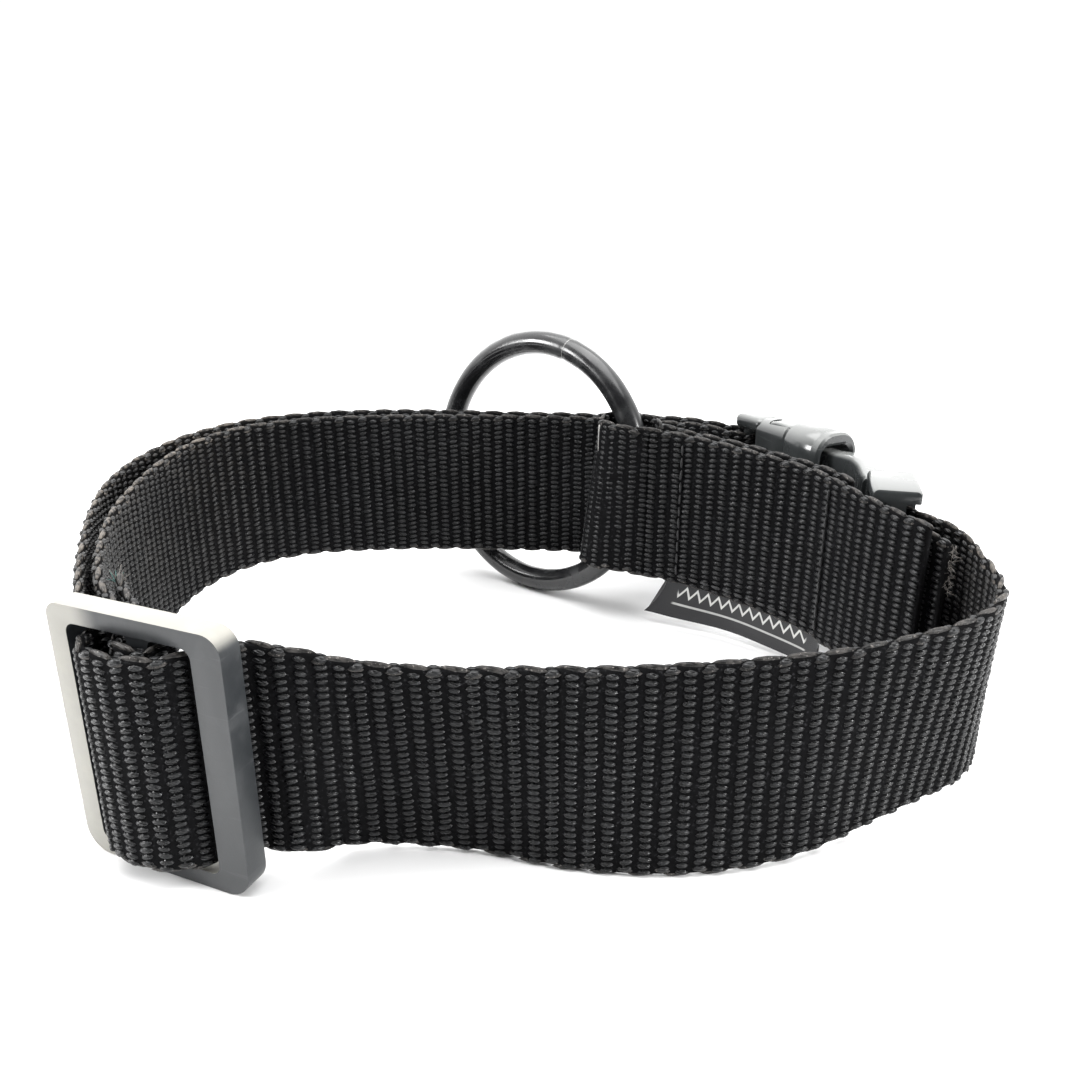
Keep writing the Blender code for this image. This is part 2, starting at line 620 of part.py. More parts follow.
def build_stitches(path, first_run, last_run, thread, home):
    near, far = KEEPER_PLY_START, KEEPER_PLY_START + KEEPER_PLY_LENGTH
    stitch_row("keeper_stitches_left", part_of(path, near + KEEPER_ROW_INSET[0], THREAD, 3), thread, home)
    stitch_row("keeper_stitches_right", part_of(path, far - KEEPER_ROW_INSET[1], THREAD, 3), thread, home)
    seam = part_of(path, near + SEAM_INSET, far - near - 2 * SEAM_INSET, 14)
    stitch_row("label_stitches", seam, thread, home, width=THREAD)
    stitch_row("tail_stitches_at_slider", part_of(first_run, SLIDER_ROW_INSET, THREAD, 3), thread, home)
    end = distances(last_run)[-1]
    stitch_row("tail_stitches_at_plug", part_of(last_run, end - PLUG_ROW_INSET, THREAD, 3), thread, home)


build()
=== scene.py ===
"""Adjustable webbing dog collar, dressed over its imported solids."""
import math

import bmesh
import bpy
import numpy as np
from mathutils import Matrix, Vector


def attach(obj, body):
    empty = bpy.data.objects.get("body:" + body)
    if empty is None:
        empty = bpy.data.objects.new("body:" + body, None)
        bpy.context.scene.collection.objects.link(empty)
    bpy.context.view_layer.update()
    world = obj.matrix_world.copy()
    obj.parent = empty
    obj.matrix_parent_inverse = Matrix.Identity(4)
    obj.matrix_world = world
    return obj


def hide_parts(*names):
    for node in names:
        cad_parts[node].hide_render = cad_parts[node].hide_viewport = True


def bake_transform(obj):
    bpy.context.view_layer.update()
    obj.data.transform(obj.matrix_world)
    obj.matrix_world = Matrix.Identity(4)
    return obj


# Sizes are in millimetres unless a comment says metres, and angles are in radians
MM = 0.001

# From the plan the strap was drawn in to the collar's own frame
SHIFT = np.array([5.34, -0.83])

# Webbing weave: long, across and out of the face for each yarn
WEB_WIDTH = 38.0
FACE_WIDTH = 36.6
WEB_THICK = 2.1
CORE_THICK = 1.25
RIB_PITCH = 2.97
FLOAT_ROWS = 29
FLOAT_SIZE = (2.55, 1.14, 1.22)
FLOAT_SINK = 0.78
LOOP_SIZE = (5.6, 0.95, 1.25)
EDGE_SIZE = (3.2, 1.15, 1.0)
EDGE_INSET = 0.62
CORE_INSET = 0.55
FOLD_PRESS = 0.25
SIZE_SCATTER = 0.07
CURVE_SAMPLES = 24

# Where the webbing is paler, in metres: the back left, and the bend by the plug; fibres paler from wear, with
# painted light on them
WORN_AND_LIT_LEFT = (-0.052, -0.080)
WORN_AND_LIT_RIGHT = (0.077, 0.090)
WORN_AND_LIT_BEHIND = (-0.057, -0.047)
WORN_AND_LIT_HEIGHT = (0.010, 0.040)

# Leash ring
RING_WIRE_R = 3.0
RING_OUTER_R = 34.5
RING_CENTRE = (-0.6, 52.6)
RING_TURN = math.radians(-38.5)
RING_LEAN = math.radians(5.7)
RING_JOINT = math.radians(76.0)
JOINT_ARC = math.radians(0.55)

# Slider
SLIDER_CENTRE = (-59.2, -65.6, 22.9)
SLIDER_TURN = math.radians(-23.2)
SLIDER_LENGTH = 33.4
SLIDER_OVERHANG = 0.5
SLIDER_HEIGHT = 45.6
SLIDER_THICK = 4.3
WINDOW_LENGTH = 24.4
WINDOW_HEIGHT = 39.6
CENTRE_BAR_WIDTH = 4.0
LEFT_EASE = 1.3
RIGHT_LIP = 10.3
RIGHT_LIP_SLOPE = 0.3
WINDOW_CORNER = 1.7
SLIDER_CORNERS = (3.4, 2.4, 4.6, 4.4)
SLIDER_BEVEL = 0.85

# Where the painted sheen on the slider's left bar ends, in metres
PAINTED_SHEEN_EDGE = (-0.0595, -0.0650)

# Buckle
BUCKLE_START = (56.0, 55.0)
BUCKLE_AXIS = Vector((0.473, -0.881, 0.0)).normalized()
BUCKLE_HEIGHT = 47.6
WEB_BAR_R = 2.0
SHELL_REAR = 5.6
SHELL_STEP = 18.0
SHELL_MOUTH = 31.0
SHELL_RISE = 1.4
BLOCK_START = (74.9, 2.8)
BLOCK_AXIS = Vector((-0.236, -0.972, 0.0)).normalized()
BLOCK_LENGTH = 15.0
BLOCK_HALF = 5.0
BLOCK_SLOT = (5.2, 11.2)
BLOCK_SLOT_Z = (3.2, 44.8)
BLOCK_BAR_HALF = 1.9

# Keeper, with the stretch of its fold that follows the ring, and label
KEEPER_PLY_START = 7.0
KEEPER_PLY_LENGTH = 42.0
KEEPER_PLY_GAP = 3.4
LABEL_WIDTH = 40.0
LABEL_DROP = 9.0
LABEL_START = 6.2

# Loose threads
WISP_SIDES = 5
WISP_STEPS = 6
STRAY_START = (14.4, 33.7, 50.0)

# Studio
FLOOR_RADIUS = 420.0
DIM_WALL = 0.06
BRIGHT_WALL = 2.2
BACKDROP = 1.05
EYE_BACK = 197.0
EYE_HEIGHT = 107.0
EYE_TILT = math.radians(69.3)
EYE_SENSOR = 36.0
EYE_LENS = 32.567

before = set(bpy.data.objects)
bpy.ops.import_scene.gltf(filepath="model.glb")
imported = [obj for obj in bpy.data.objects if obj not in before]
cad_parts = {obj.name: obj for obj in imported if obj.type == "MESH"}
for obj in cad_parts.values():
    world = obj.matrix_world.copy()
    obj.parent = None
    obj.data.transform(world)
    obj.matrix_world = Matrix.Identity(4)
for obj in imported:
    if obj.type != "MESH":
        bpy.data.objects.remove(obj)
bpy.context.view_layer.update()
rng = np.random.default_rng(7)


# ---------------------------------------------------------------- materials
class Value:
    """A socket with arithmetic: each operation adds its Math node."""

    def __init__(self, tree, socket):
        self.tree = tree
        self.socket = socket

    def math(self, operation, *others):
        step = self.tree.nodes.new("ShaderNodeMath")
        step.operation = operation
        for place, item in zip(step.inputs, (self, *others)):
            feed(self.tree, place, item)
        return Value(self.tree, step.outputs[0])

    def __add__(self, other):
        return self.math("ADD", other)

    def __sub__(self, other):
        return self.math("SUBTRACT", other)

    def __rsub__(self, other):
        return self * -1.0 + other

    def __mul__(self, other):
        return self.math("MULTIPLY", other)

    __radd__ = __add__
    __rmul__ = __mul__


def feed(tree, place, item):
    if isinstance(item, Value):
        tree.links.new(item.socket, place)
    elif isinstance(item, bpy.types.NodeSocket):
        tree.links.new(item, place)
    else:
        place.default_value = item


class Finish:
    """A material under construction."""

    def __init__(self, name, colour, roughness, **constants):
        self.material = bpy.data.materials.new(name)
        self.material.use_nodes = True
        self.tree = self.material.node_tree
        self.shader = self.tree.nodes["Principled BSDF"]
        self.shader.inputs["Base Color"].default_value = (*colour, 1.0)
        self.shader.inputs["Roughness"].default_value = roughness
        for key, value in constants.items():
            self.shader.inputs[key.replace("_", " ")].default_value = value

    def node(self, kind, settings=None, out=0, **sockets):
        """Any node: its settings first, then its sockets, given by name with _ for a space."""
        made = self.tree.nodes.new(kind)
        for key, value in (settings or {}).items():
            setattr(made, key, value)
        for key, item in sockets.items():
            feed(self.tree, made.inputs[key.replace("_", " ")], item)
        return Value(self.tree, made.outputs[out])

    def place(self, scale=(1.0, 1.0, 1.0)):
        """The object's own coordinates, in metres."""
        spot = self.node("ShaderNodeTexCoord", out="Object")
        return self.node("ShaderNodeMapping", Vector=spot, Scale=scale)

    def parts(self, where):
        return [self.node("ShaderNodeSeparateXYZ", out=axis, Vector=where) for axis in "XYZ"]

    def noise(self, where, scale, detail=3.0, roughness=0.5):
        return self.node("ShaderNodeTexNoise", Vector=where, Scale=scale, Detail=detail, Roughness=roughness)

    def step(self, value, low, high, bottom=0.0, top=1.0):
        """A smooth change from bottom to top as the value goes from low to high."""
        return self.node("ShaderNodeMapRange", {"interpolation_type": "SMOOTHSTEP"}, Value=value,
                         From_Min=low, From_Max=high, To_Min=bottom, To_Max=top)

    def mix(self, factor, first, second):
        made = self.tree.nodes.new("ShaderNodeMix")
        made.data_type = "RGBA"
        feed(self.tree, made.inputs[0], factor)
        for place, item in ((made.inputs[6], first), (made.inputs[7], second)):
            feed(self.tree, place, (*item, 1.0) if isinstance(item, tuple) else item)
        return Value(self.tree, made.outputs[2])

    def set(self, key, value):
        feed(self.tree, self.shader.inputs[key], value)

    def bump(self, height, strength, distance):
        self.set("Normal", self.node("ShaderNodeBump", Height=height, Strength=strength, Distance=distance))


def nylon_finish(name, colour, lit, roughness, wear_and_light, shine=0.30):
    """Woven nylon yarn: twisted filaments, tone that drifts from yarn to yarn, paler ends where the fibres
    show wear with painted light on them, and painted specks of highlight.
    """
    made = Finish(name, colour, roughness, Specular_IOR_Level=shine)
    where = made.place()
    drift = made.noise(where, 900.0, 2.0)
    patch = made.noise(where, 45.0, 2.0)
    tone = made.step(drift * 0.7 + patch * 0.3, 0.40, 0.64)
    across, deep, up = made.parts(where)
    # Paler tint at both ends, behind, stronger towards the top: partly fibres paler from wear, partly painted
    # light
    ends = made.step(across, *WORN_AND_LIT_LEFT) + made.step(across, *WORN_AND_LIT_RIGHT) * 0.8
    worn_and_lit_ends = ends * tone * made.step(up, *WORN_AND_LIT_HEIGHT, 0.35, 1.0) * made.step(deep, *WORN_AND_LIT_BEHIND)
    # Painted highlight: small specks at 4.5 times the paler tone, painted into the colour
    painted_glint = made.step(made.noise(where, 2100.0, 2.0, 0.6), 0.60, 0.70)
    base = made.mix(painted_glint * 0.8, made.mix(tone, colour, lit), tuple(4.5 * part for part in lit))
    made.set("Base Color", made.mix(worn_and_lit_ends, base, wear_and_light))
    made.set("Roughness", made.step(drift, 0.3, 0.7, roughness - 0.08, roughness + 0.12))
    yarn = made.node("ShaderNodeAttribute", {"attribute_name": "yarn"}, out="Vector")
    twist = made.node("ShaderNodeMapping", Vector=yarn, Rotation=(0.0, 0.0, 0.5))
    filament = made.node("ShaderNodeTexWave", {"bands_direction": "Y"}, out="Fac", Vector=twist, Scale=1.3,
                         Distortion=1.2, Detail=1.5)
    made.bump(filament, 0.6, 0.00012)
    return made.material


NYLON = nylon_finish("black_nylon_webbing", (0.0022, 0.0023, 0.0027), (0.0085, 0.0091, 0.0100), 0.31,
                     (0.026, 0.024, 0.022), 0.36)
# Selvedge loops: a paler copy of the webbing finish, pale fuzz on the edges with painted light on them
NYLON_EDGE_FUZZ_AND_LIGHT = nylon_finish("nylon_selvedge_fuzz_and_light", (0.005, 0.0048, 0.0048), (0.050, 0.046, 0.043), 0.46,
                          (0.17, 0.15, 0.13))
NYLON_CORE = nylon_finish("nylon_ground", (0.0040, 0.0040, 0.0044), (0.0065, 0.0065, 0.0070), 0.9,
                          (0.006, 0.0055, 0.005), 0.04)


def moulded_finish(name, colour, pale, painted_sheen, roughness, grain, coat):
    """Moulded plastic: fine grain, handling marks, paler scuffed areas, and a painted sheen: a pale colour
    painted on what faces up and on the slider's left bar.
    """
    made = Finish(name, colour, roughness, Coat_Roughness=0.2)
    where = made.place()
    # Random scuffed patches: a paler tone here, and a slightly weaker painted sheen
    wear_and_light = made.step(made.noise(where, 120.0, 5.0, 0.6), 0.45, 0.72)
    streak = made.noise(made.place((60.0, 60.0, 900.0)), 1.0, 4.0, 0.6)
    scratch = made.step(streak, 0.62, 0.70)
    tone = made.mix(wear_and_light * 0.5 + scratch * 0.35, colour, pale)
    right_facing, _, up_facing = made.parts(made.node("ShaderNodeNewGeometry", out="Normal"))
    across, _, up = made.parts(where)
    # Painted sheen and reflection: pale on faces turned up, and on the slider's left bar except where it
    # faces right
    top = made.step(up_facing, 0.25, 0.85)
    left = made.step(across + (0.023 - up).math("ABSOLUTE") * 0.05, *PAINTED_SHEEN_EDGE)
    left = left * made.step(right_facing, 0.45, 0.20)
    painted_sheen_mask = (top + left).math("MINIMUM", 1.0) * made.step(wear_and_light + scratch * 0.4, 0.0, 1.2, 0.86, 1.0)
    made.set("Base Color", made.mix(painted_sheen_mask, tone, painted_sheen))
    made.set("Roughness", made.step(wear_and_light + scratch * 0.5, 0.0, 1.2, roughness - 0.06, roughness + 0.14))
    made.set("Coat Weight", made.step(wear_and_light, 0.0, 1.0, coat, coat * 0.6))
    made.bump(made.noise(where, 2600.0, 2.0) * 0.6 + scratch * 0.4, grain, 0.00008)
    return made.material


# The third colour of each is its painted sheen
SLIDER_PLASTIC = moulded_finish("slider_satin_plastic", (0.022, 0.0245, 0.027), (0.062, 0.065, 0.068),
                                (0.34, 0.33, 0.295), roughness=0.40, grain=0.25, coat=0.10)
BUCKLE_PLASTIC = moulded_finish("buckle_gloss_plastic", (0.034, 0.037, 0.038), (0.066, 0.070, 0.071),
                                (0.19, 0.195, 0.19), roughness=0.24, grain=0.12, coat=0.4)


def lacquer_finish():
    """Black lacquer on steel wire, slightly uneven in colour and shine."""
    made = Finish("ring_black_lacquer", (0.012, 0.012, 0.013), 0.2, Coat_Roughness=0.12)
    where = made.place()
    mottle = made.noise(where, 160.0, 4.0, 0.55)
    tone = made.step(mottle, 0.4, 0.7)
    made.set("Base Color", made.mix(tone, (0.010, 0.010, 0.011), (0.020, 0.021, 0.022)))
    made.set("Roughness", made.step(mottle, 0.35, 0.7, 0.16, 0.34))
    made.set("Coat Weight", made.step(mottle, 0.3, 0.7, 0.5, 0.2))
    made.bump(made.noise(where, 420.0, 3.0), 0.12, 0.0001)
    return made.material


RING_LACQUER = lacquer_finish()


def joint_finish():
    """Bare steel where the ring's ends were joined."""
    made = Finish("ring_joint_bare_steel", (0.30, 0.30, 0.29), 0.45, Metallic=0.6)
    grit = made.noise(made.place(), 1500.0)
    made.set("Base Color", made.mix(grit, (0.12, 0.12, 0.12), (0.42, 0.42, 0.40)))
    return made.material


def satin_finish():
    """Satin tape: fine weft lines, a pale woven zigzag and a thin stripe, in the tape's own coordinates."""
    made = Finish("label_satin_tape", (0.02, 0.02, 0.022), 0.36, Sheen_Weight=0.2, Sheen_Roughness=0.35)
    where = made.node("ShaderNodeUVMap", {"uv_map": "tape"})
    across, up, _ = made.parts(where)
    weft = made.node("ShaderNodeTexWave", {"bands_direction": "Y"}, out="Fac", Vector=where, Scale=26.0,
                     Distortion=0.4)
    zigzag = ((across * 15.0).math("FRACT") - 0.5).math("ABSOLUTE") * 2
    crest = (up - 0.50 - zigzag * 0.22).math("ABSOLUTE")
    line = (up - 0.32).math("ABSOLUTE")
    inside = made.step(across, 0.08, 0.10) * made.step(across, 0.92, 0.90)
    drawn = made.step(crest, 0.05, 0.035) + made.step(line, 0.03, 0.018) * 0.7
    mark = drawn.math("MINIMUM", 1.0) * inside
    made.set("Base Color", made.mix(mark, (0.014, 0.014, 0.016), (0.62, 0.62, 0.60)))
    made.set("Roughness", made.step(weft, 0.0, 1.0, 0.3, 0.46))
    made.bump(weft * 0.6 + mark * 0.4, 0.3, 0.0001)
    return made.material


LABEL_SATIN = satin_finish()


def thread_finish(name, colour, lit):
    """Twisted sewing thread or loose fibre."""
    made = Finish(name, colour, 0.5, Sheen_Weight=0.1)
    ply = made.node("ShaderNodeTexWave", {"bands_direction": "DIAGONAL"}, out="Fac", Vector=made.place(),
                    Scale=1400.0)
    made.set("Base Color", made.mix(ply, colour, lit))
    made.bump(ply, 0.5, 0.0001)
    return made.material


THREAD = thread_finish("black_sewing_thread", (0.005, 0.005, 0.006), (0.014, 0.014, 0.015))
TEAL_THREAD = thread_finish("frayed_teal_thread", (0.010, 0.075, 0.065), (0.03, 0.14, 0.12))
LINT_THREAD = thread_finish("frayed_webbing_fibre", (0.035, 0.032, 0.029), (0.13, 0.115, 0.10))
WHITE_THREAD = thread_finish("stray_white_thread", (0.45, 0.44, 0.42), (0.75, 0.74, 0.72))


# ---------------------------------------------------------------- mesh helpers
def to_object(name, shape, surfaces):
    """Turns a bmesh drawn in millimetres into a finished object at the origin."""
    bmesh.ops.scale(shape, vec=(MM, MM, MM), verts=shape.verts)
    bmesh.ops.recalc_face_normals(shape, faces=shape.faces)
    data = bpy.data.meshes.new(name)
    shape.to_mesh(data)
    shape.free()
    made = bpy.data.objects.new(name, data)
    bpy.context.scene.collection.objects.link(made)
    for surface in surfaces:
        data.materials.append(surface)
    data.polygons.foreach_set("use_smooth", [True] * len(data.polygons))
    return made


def applied(made):
    """The object with its modifiers worked into its mesh."""
    graph = bpy.context.evaluated_depsgraph_get()
    graph.update()
    result = bpy.data.meshes.new_from_object(made.evaluated_get(graph))
    made.modifiers.clear()
    made.data = result
    return made


def sharpen(made, degrees=35.0):
    made.data.set_sharp_from_angle(angle=math.radians(degrees))
    return made


def frame_at(start, axis):
    """Placement with X along a flat axis and Z up, in millimetres."""
    turn = math.atan2(axis.y, axis.x)
    spot = Vector((start[0] + SHIFT[0], start[1] + SHIFT[1], 0.0))
    return Matrix.Translation(spot) @ Matrix.Rotation(turn, 4, "Z")


def boolean(target, tool, operation="DIFFERENCE"):
    """Cuts the tool out of the target, or joins it on, and removes the tool."""
    step = target.modifiers.new("cut", "BOOLEAN")
    step.object = tool
    step.operation = operation
    step.solver = "EXACT"
    applied(target)
    bpy.data.objects.remove(tool, do_unlink=True)


def box(low, high, matrix):
    """A block between two corners, given in the placement's own directions."""
    shape = bmesh.new()
    size = [b - a for a, b in zip(low, high)]
    middle = Vector([(a + b) / 2 for a, b in zip(low, high)])
    place = matrix @ Matrix.Translation(middle) @ Matrix.Diagonal(Vector((*size, 1.0)))
    bmesh.ops.create_cube(shape, size=1.0, matrix=place)
    return shape


def loft(sections, closed=False):
    """A skin over sections of equal count, capped at both ends or closed into a ring."""
    shape = bmesh.new()
    rings = [[shape.verts.new(point) for point in section] for section in sections]
    for first, second in zip(rings, rings[1:] + (rings[:1] if closed else [])):
        for i in range(len(first)):
            j = (i + 1) % len(first)
            shape.faces.new((first[i], first[j], second[j], second[i]))
    if not closed:
        shape.faces.new(list(reversed(rings[0])))
        shape.faces.new(rings[-1])
    return shape


def rounded(half_wide, low, high, corner, steps=6):
    """Points of a rounded rectangle, as (across, up)."""
    corner = min(corner, half_wide * 0.98, (high - low) * 0.49)
    middle = (low + high) / 2
    points = []
    for side, height, start in ((half_wide, high, 0), (-half_wide, high, 90), (-half_wide, low, 180),
                                (half_wide, low, 270)):
        centre = (side - math.copysign(corner, side), height - math.copysign(corner, height - middle))
        for k in range(steps + 1):
            turn = math.radians(start + 90.0 * k / steps)
            points.append((centre[0] + corner * math.cos(turn), centre[1] + corner * math.sin(turn)))
    return points


# ---------------------------------------------------------------- paths
def distances(line):
    return np.concatenate([[0.0], np.cumsum(np.linalg.norm(np.diff(line[:, :2], axis=0), axis=1))])


def fine_curve(points):
    """A smooth curve through the points, with the distance of each point along it."""
    knots = np.array(points, dtype=float)
    ends = np.vstack([2 * knots[0] - knots[1], knots, 2 * knots[-1] - knots[-2]])
    samples = []
    for i in range(1, len(ends) - 2):
        before, here, there, after = ends[i - 1:i + 3]
        reach = np.linalg.norm((there - here)[:2])
        into = (there - before) / np.linalg.norm((there - before)[:2]) * reach
        out = (after - here) / np.linalg.norm((after - here)[:2]) * reach
        for t in np.linspace(0.0, 1.0, CURVE_SAMPLES, endpoint=False):
            a = 2 * t ** 3 - 3 * t ** 2 + 1
            b = t ** 3 - 2 * t ** 2 + t
            c = t ** 3 - t ** 2
            samples.append(a * here + b * into + (1 - a) * there + c * out)
    samples.append(knots[-1])
    curve = np.array(samples)
    return curve, distances(curve)[::CURVE_SAMPLES]


class Band:
    """A strap standing on edge, read by distance along it; the top line may be given, or is 38 mm above."""

    def __init__(self, curve, top=None):
        self.reach = distances(curve)
        self.length = self.reach[-1]
        tangent = np.gradient(curve[:, :2], axis=0)
        tangent /= np.linalg.norm(tangent, axis=1)[:, None]
        side = np.column_stack([tangent[:, 1], -tangent[:, 0]])
        outside = side.copy()
        outside[np.sum(side * curve[:, :2], axis=1) < 0] *= -1
        lean = curve[:, 3:4]
        base = curve[:, 2:3] + np.abs(lean) / WEB_WIDTH * WEB_THICK / 2
        self.foot = np.hstack([curve[:, :2] + outside * lean / 2 + SHIFT, base])
        rise = base + np.sqrt(WEB_WIDTH ** 2 - lean ** 2)
        self.top = np.hstack([curve[:, :2] - outside * lean / 2 + SHIFT, rise])
        if top is not None:
            self.top = np.hstack([top[:, :2] + SHIFT, top[:, 2:3]])
        along = np.gradient((self.foot + self.top) / 2, axis=0)
        self.along = along / np.linalg.norm(along, axis=1)[:, None]
        up = self.top - self.foot
        self.wide = np.linalg.norm(up, axis=1)
        self.up = up / self.wide[:, None]
        out = np.cross(self.along, self.up)
        self.out = out / np.linalg.norm(out, axis=1)[:, None]

    def at(self, reach):
        """Middle point and the three directions (along, up, out) at distances along the strap."""
        pick = [np.column_stack([np.interp(reach, self.reach, line[:, k]) for k in range(3)])
                for line in ((self.foot + self.top) / 2, self.along, self.up, self.out)]
        for line in pick[1:]:
            line /= np.linalg.norm(line, axis=1)[:, None]
        return pick


# ---------------------------------------------------------------- weave
def socket(tree, name, kind, value):
    made = tree.interface.new_socket(name, in_out="INPUT", socket_type=kind)
    if value is not None:
        made.default_value = value
    return made


def weave_tree():
    """Yarn floats set on points: each a small swelling, sized and turned by the point's own facts."""
    tree = bpy.data.node_groups.new("yarn_floats", "GeometryNodeTree")
    socket(tree, "Seats", "NodeSocketGeometry", None)
    socket(tree, "Size Scatter", "NodeSocketFloat", SIZE_SCATTER)
    socket(tree, "Seed", "NodeSocketInt", 5)
    socket(tree, "Face Yarn", "NodeSocketMaterial", None)
    tree.interface.new_socket("Floats", in_out="OUTPUT", socket_type="NodeSocketGeometry")
    node, link = tree.nodes.new, tree.links.new
    given, result = node("NodeGroupInput"), node("NodeGroupOutput")
    form = node("GeometryNodeMeshUVSphere")
    form.inputs["Segments"].default_value = 8
    form.inputs["Rings"].default_value = 4
    form.inputs["Radius"].default_value = 0.5
    keep = node("GeometryNodeStoreNamedAttribute")
    keep.data_type = "FLOAT_VECTOR"
    keep.inputs["Name"].default_value = "yarn"
    link(form.outputs["Mesh"], keep.inputs["Geometry"])
    link(node("GeometryNodeInputPosition").outputs[0], keep.inputs["Value"])
    soft = node("GeometryNodeSetShadeSmooth")
    link(keep.outputs[0], soft.inputs[0])
    facts = {}
    for name, kind in (("size", "FLOAT_VECTOR"), ("turn", "FLOAT_VECTOR")):
        fact = node("GeometryNodeInputNamedAttribute")
        fact.data_type = kind
        fact.inputs["Name"].default_value = name
        facts[name] = fact.outputs["Attribute"]
    scatter = node("FunctionNodeRandomValue")
    scatter.data_type = "FLOAT"
    low = node("ShaderNodeMath")
    low.operation = "SUBTRACT"
    low.inputs[0].default_value = 1.0
    high = node("ShaderNodeMath")
    high.inputs[0].default_value = 1.0
    for limit, place in ((low, "Min"), (high, "Max")):
        link(given.outputs["Size Scatter"], limit.inputs[1])
        slot = [s for s in scatter.inputs if s.name == place and s.type == "VALUE" and s.enabled][0]
        link(limit.outputs[0], slot)
    link(given.outputs["Seed"], scatter.inputs["Seed"])
    drawn = [s for s in scatter.outputs if s.enabled][0]
    scaled = node("ShaderNodeVectorMath")
    scaled.operation = "SCALE"
    link(facts["size"], scaled.inputs[0])
    link(drawn, scaled.inputs["Scale"])
    points = node("GeometryNodeMeshToPoints")
    seat = node("GeometryNodeInstanceOnPoints")
    link(given.outputs["Seats"], points.inputs["Mesh"])
    link(points.outputs[0], seat.inputs["Points"])
    link(soft.outputs[0], seat.inputs["Instance"])
    turn = node("FunctionNodeEulerToRotation")
    link(facts["turn"], turn.inputs[0])
    link(turn.outputs[0], seat.inputs["Rotation"])
    link(scaled.outputs[0], seat.inputs["Scale"])
    real = node("GeometryNodeRealizeInstances")
    dress = node("GeometryNodeSetMaterial")
    link(seat.outputs[0], real.inputs[0])
    link(real.outputs[0], dress.inputs[0])
    link(given.outputs["Face Yarn"], dress.inputs["Material"])
    link(dress.outputs[0], result.inputs[0])
    return tree


YARN_FLOATS = weave_tree()


def instanced(name, tree, seats, values):
    """Runs a node tree on points that carry size and turn, and gives back the plain object."""
    data = bpy.data.meshes.new(name)
    data.from_pydata([tuple(p) for p in seats["place"]], [], [])
    for fact in ("size", "turn"):
        held = data.attributes.new(fact, "FLOAT_VECTOR", "POINT")
        held.data.foreach_set("vector", np.asarray(seats[fact], np.float32).ravel())
    made = bpy.data.objects.new(name, data)
    bpy.context.scene.collection.objects.link(made)
    step = made.modifiers.new("weave", "NODES")
    step.node_group = tree
    for item in tree.interface.items_tree:
        if item.item_type == "SOCKET" and item.in_out == "INPUT" and item.name in values:
            step[item.identifier] = values[item.name]
    return applied(made)


def turns(along, up, out, tilt):
    """Euler angles of frames whose X runs along the strap, turned by tilt in the strap's face."""
    angles = []
    for a, u, o, t in zip(along, up, out, tilt):
        x = a * math.cos(t) + u * math.sin(t)
        y = np.cross(o, x)
        angles.append(Matrix((x, y, o)).transposed().to_euler())
    return np.array([tuple(angle) for angle in angles])


def seats_of(band, reaches, first_rib, sink):
    """Where the face floats of some ribs sit, on both faces, alternate ribs half a float apart."""
    place, size, turn = [], [], []
    middle, along, up, out = band.at(reaches)
    wide = np.interp(reaches, band.reach, band.wide) / WEB_WIDTH
    pitch = FACE_WIDTH / FLOAT_ROWS
    for k in range(len(reaches)):
        odd = (k + first_rib) % 2
        rows = (np.arange(FLOAT_ROWS) + 0.5 - FLOAT_ROWS / 2) * pitch + (0.25 if odd else -0.25) * pitch
        rows = rows * wide[k]
        for face in (1.0, -1.0):
            count = len(rows)
            sway = rng.normal(0.0, 0.05, count)
            lift = CORE_THICK / 2 + FLOAT_SIZE[2] / 2 - sink
            spots = middle[k] + np.outer(rows, up[k]) + out[k] * face * lift + np.outer(sway, along[k])
            tilt = (0.16 if odd else -0.05) + rng.normal(0.0, 0.05, count)
            place.append(spots)
            size.append(np.tile(FLOAT_SIZE, (count, 1)) * rng.normal(1.0, 0.04, (count, 1)))
            turn.append(turns([along[k]] * count, [up[k]] * count, [out[k] * face] * count, tilt * face))
    return {"place": np.vstack(place) * MM, "size": np.vstack(size) * MM, "turn": np.vstack(turn)}


def edge_seats(band, reaches, first_rib):
    """Selvedge loops over both edges, one to every two ribs, and the short yarns below them."""
    place, size, turn = [], [], []
    middle, along, up, out = band.at(reaches)
    wide = np.interp(reaches, band.reach, band.wide)
    for k in range(len(reaches)):
        for end in (1.0, -1.0):
            edge = middle[k] + up[k] * end * (wide[k] / 2 - EDGE_INSET)
            if (k + first_rib) % 2 == 0:
                place.append(edge + up[k] * end * 0.02 + along[k] * rng.normal(0.0, 0.1))
                size.append(LOOP_SIZE)
                turn.append(turns([along[k]], [out[k] * end], [up[k] * end], [0.10])[0])
                continue
            for face in (1.0, -1.0):
                spot = edge - up[k] * end * 0.75 + out[k] * face * 0.42
                place.append(spot)
                size.append(EDGE_SIZE)
                turn.append(turns([along[k]], [up[k]], [out[k] * face], [0.12 * end])[0])
    return {"place": np.array(place) * MM, "size": np.array(size) * MM, "turn": np.array(turn)}


def core_body(band, start, stop, step=1.4):
    """The ground of the webbing: a thin closed band with rounded edges."""
    count = max(4, int((stop - start) / step) + 2)
    reaches = np.linspace(start, stop, count)
    middle, _, up, out = band.at(reaches)
    sections = []
    for k, reach in enumerate(reaches):
        half = np.interp(reach, band.reach, band.wide) / 2 - CORE_INSET
        sections.append([Vector(middle[k] + out[k] * across + up[k] * height)
                         for across, height in rounded(CORE_THICK / 2, -half, half, 0.5, 3)])
    return loft(sections)


def join(name, pieces):
    """One mesh from several objects."""
    shape = bmesh.new()
    surfaces = []
    for piece in pieces:
        shift = len(surfaces)
        surfaces += list(piece.data.materials)
        before = len(shape.faces)
        shape.from_mesh(piece.data)
        shape.faces.ensure_lookup_table()
        for face in shape.faces[before:]:
            face.material_index += shift
        bpy.data.objects.remove(piece, do_unlink=True)
    data = bpy.data.meshes.new(name)
    shape.to_mesh(data)
    shape.free()
    made = bpy.data.objects.new(name, data)
    bpy.context.scene.collection.objects.link(made)
    for surface in surfaces:
        data.materials.append(surface)
    return made


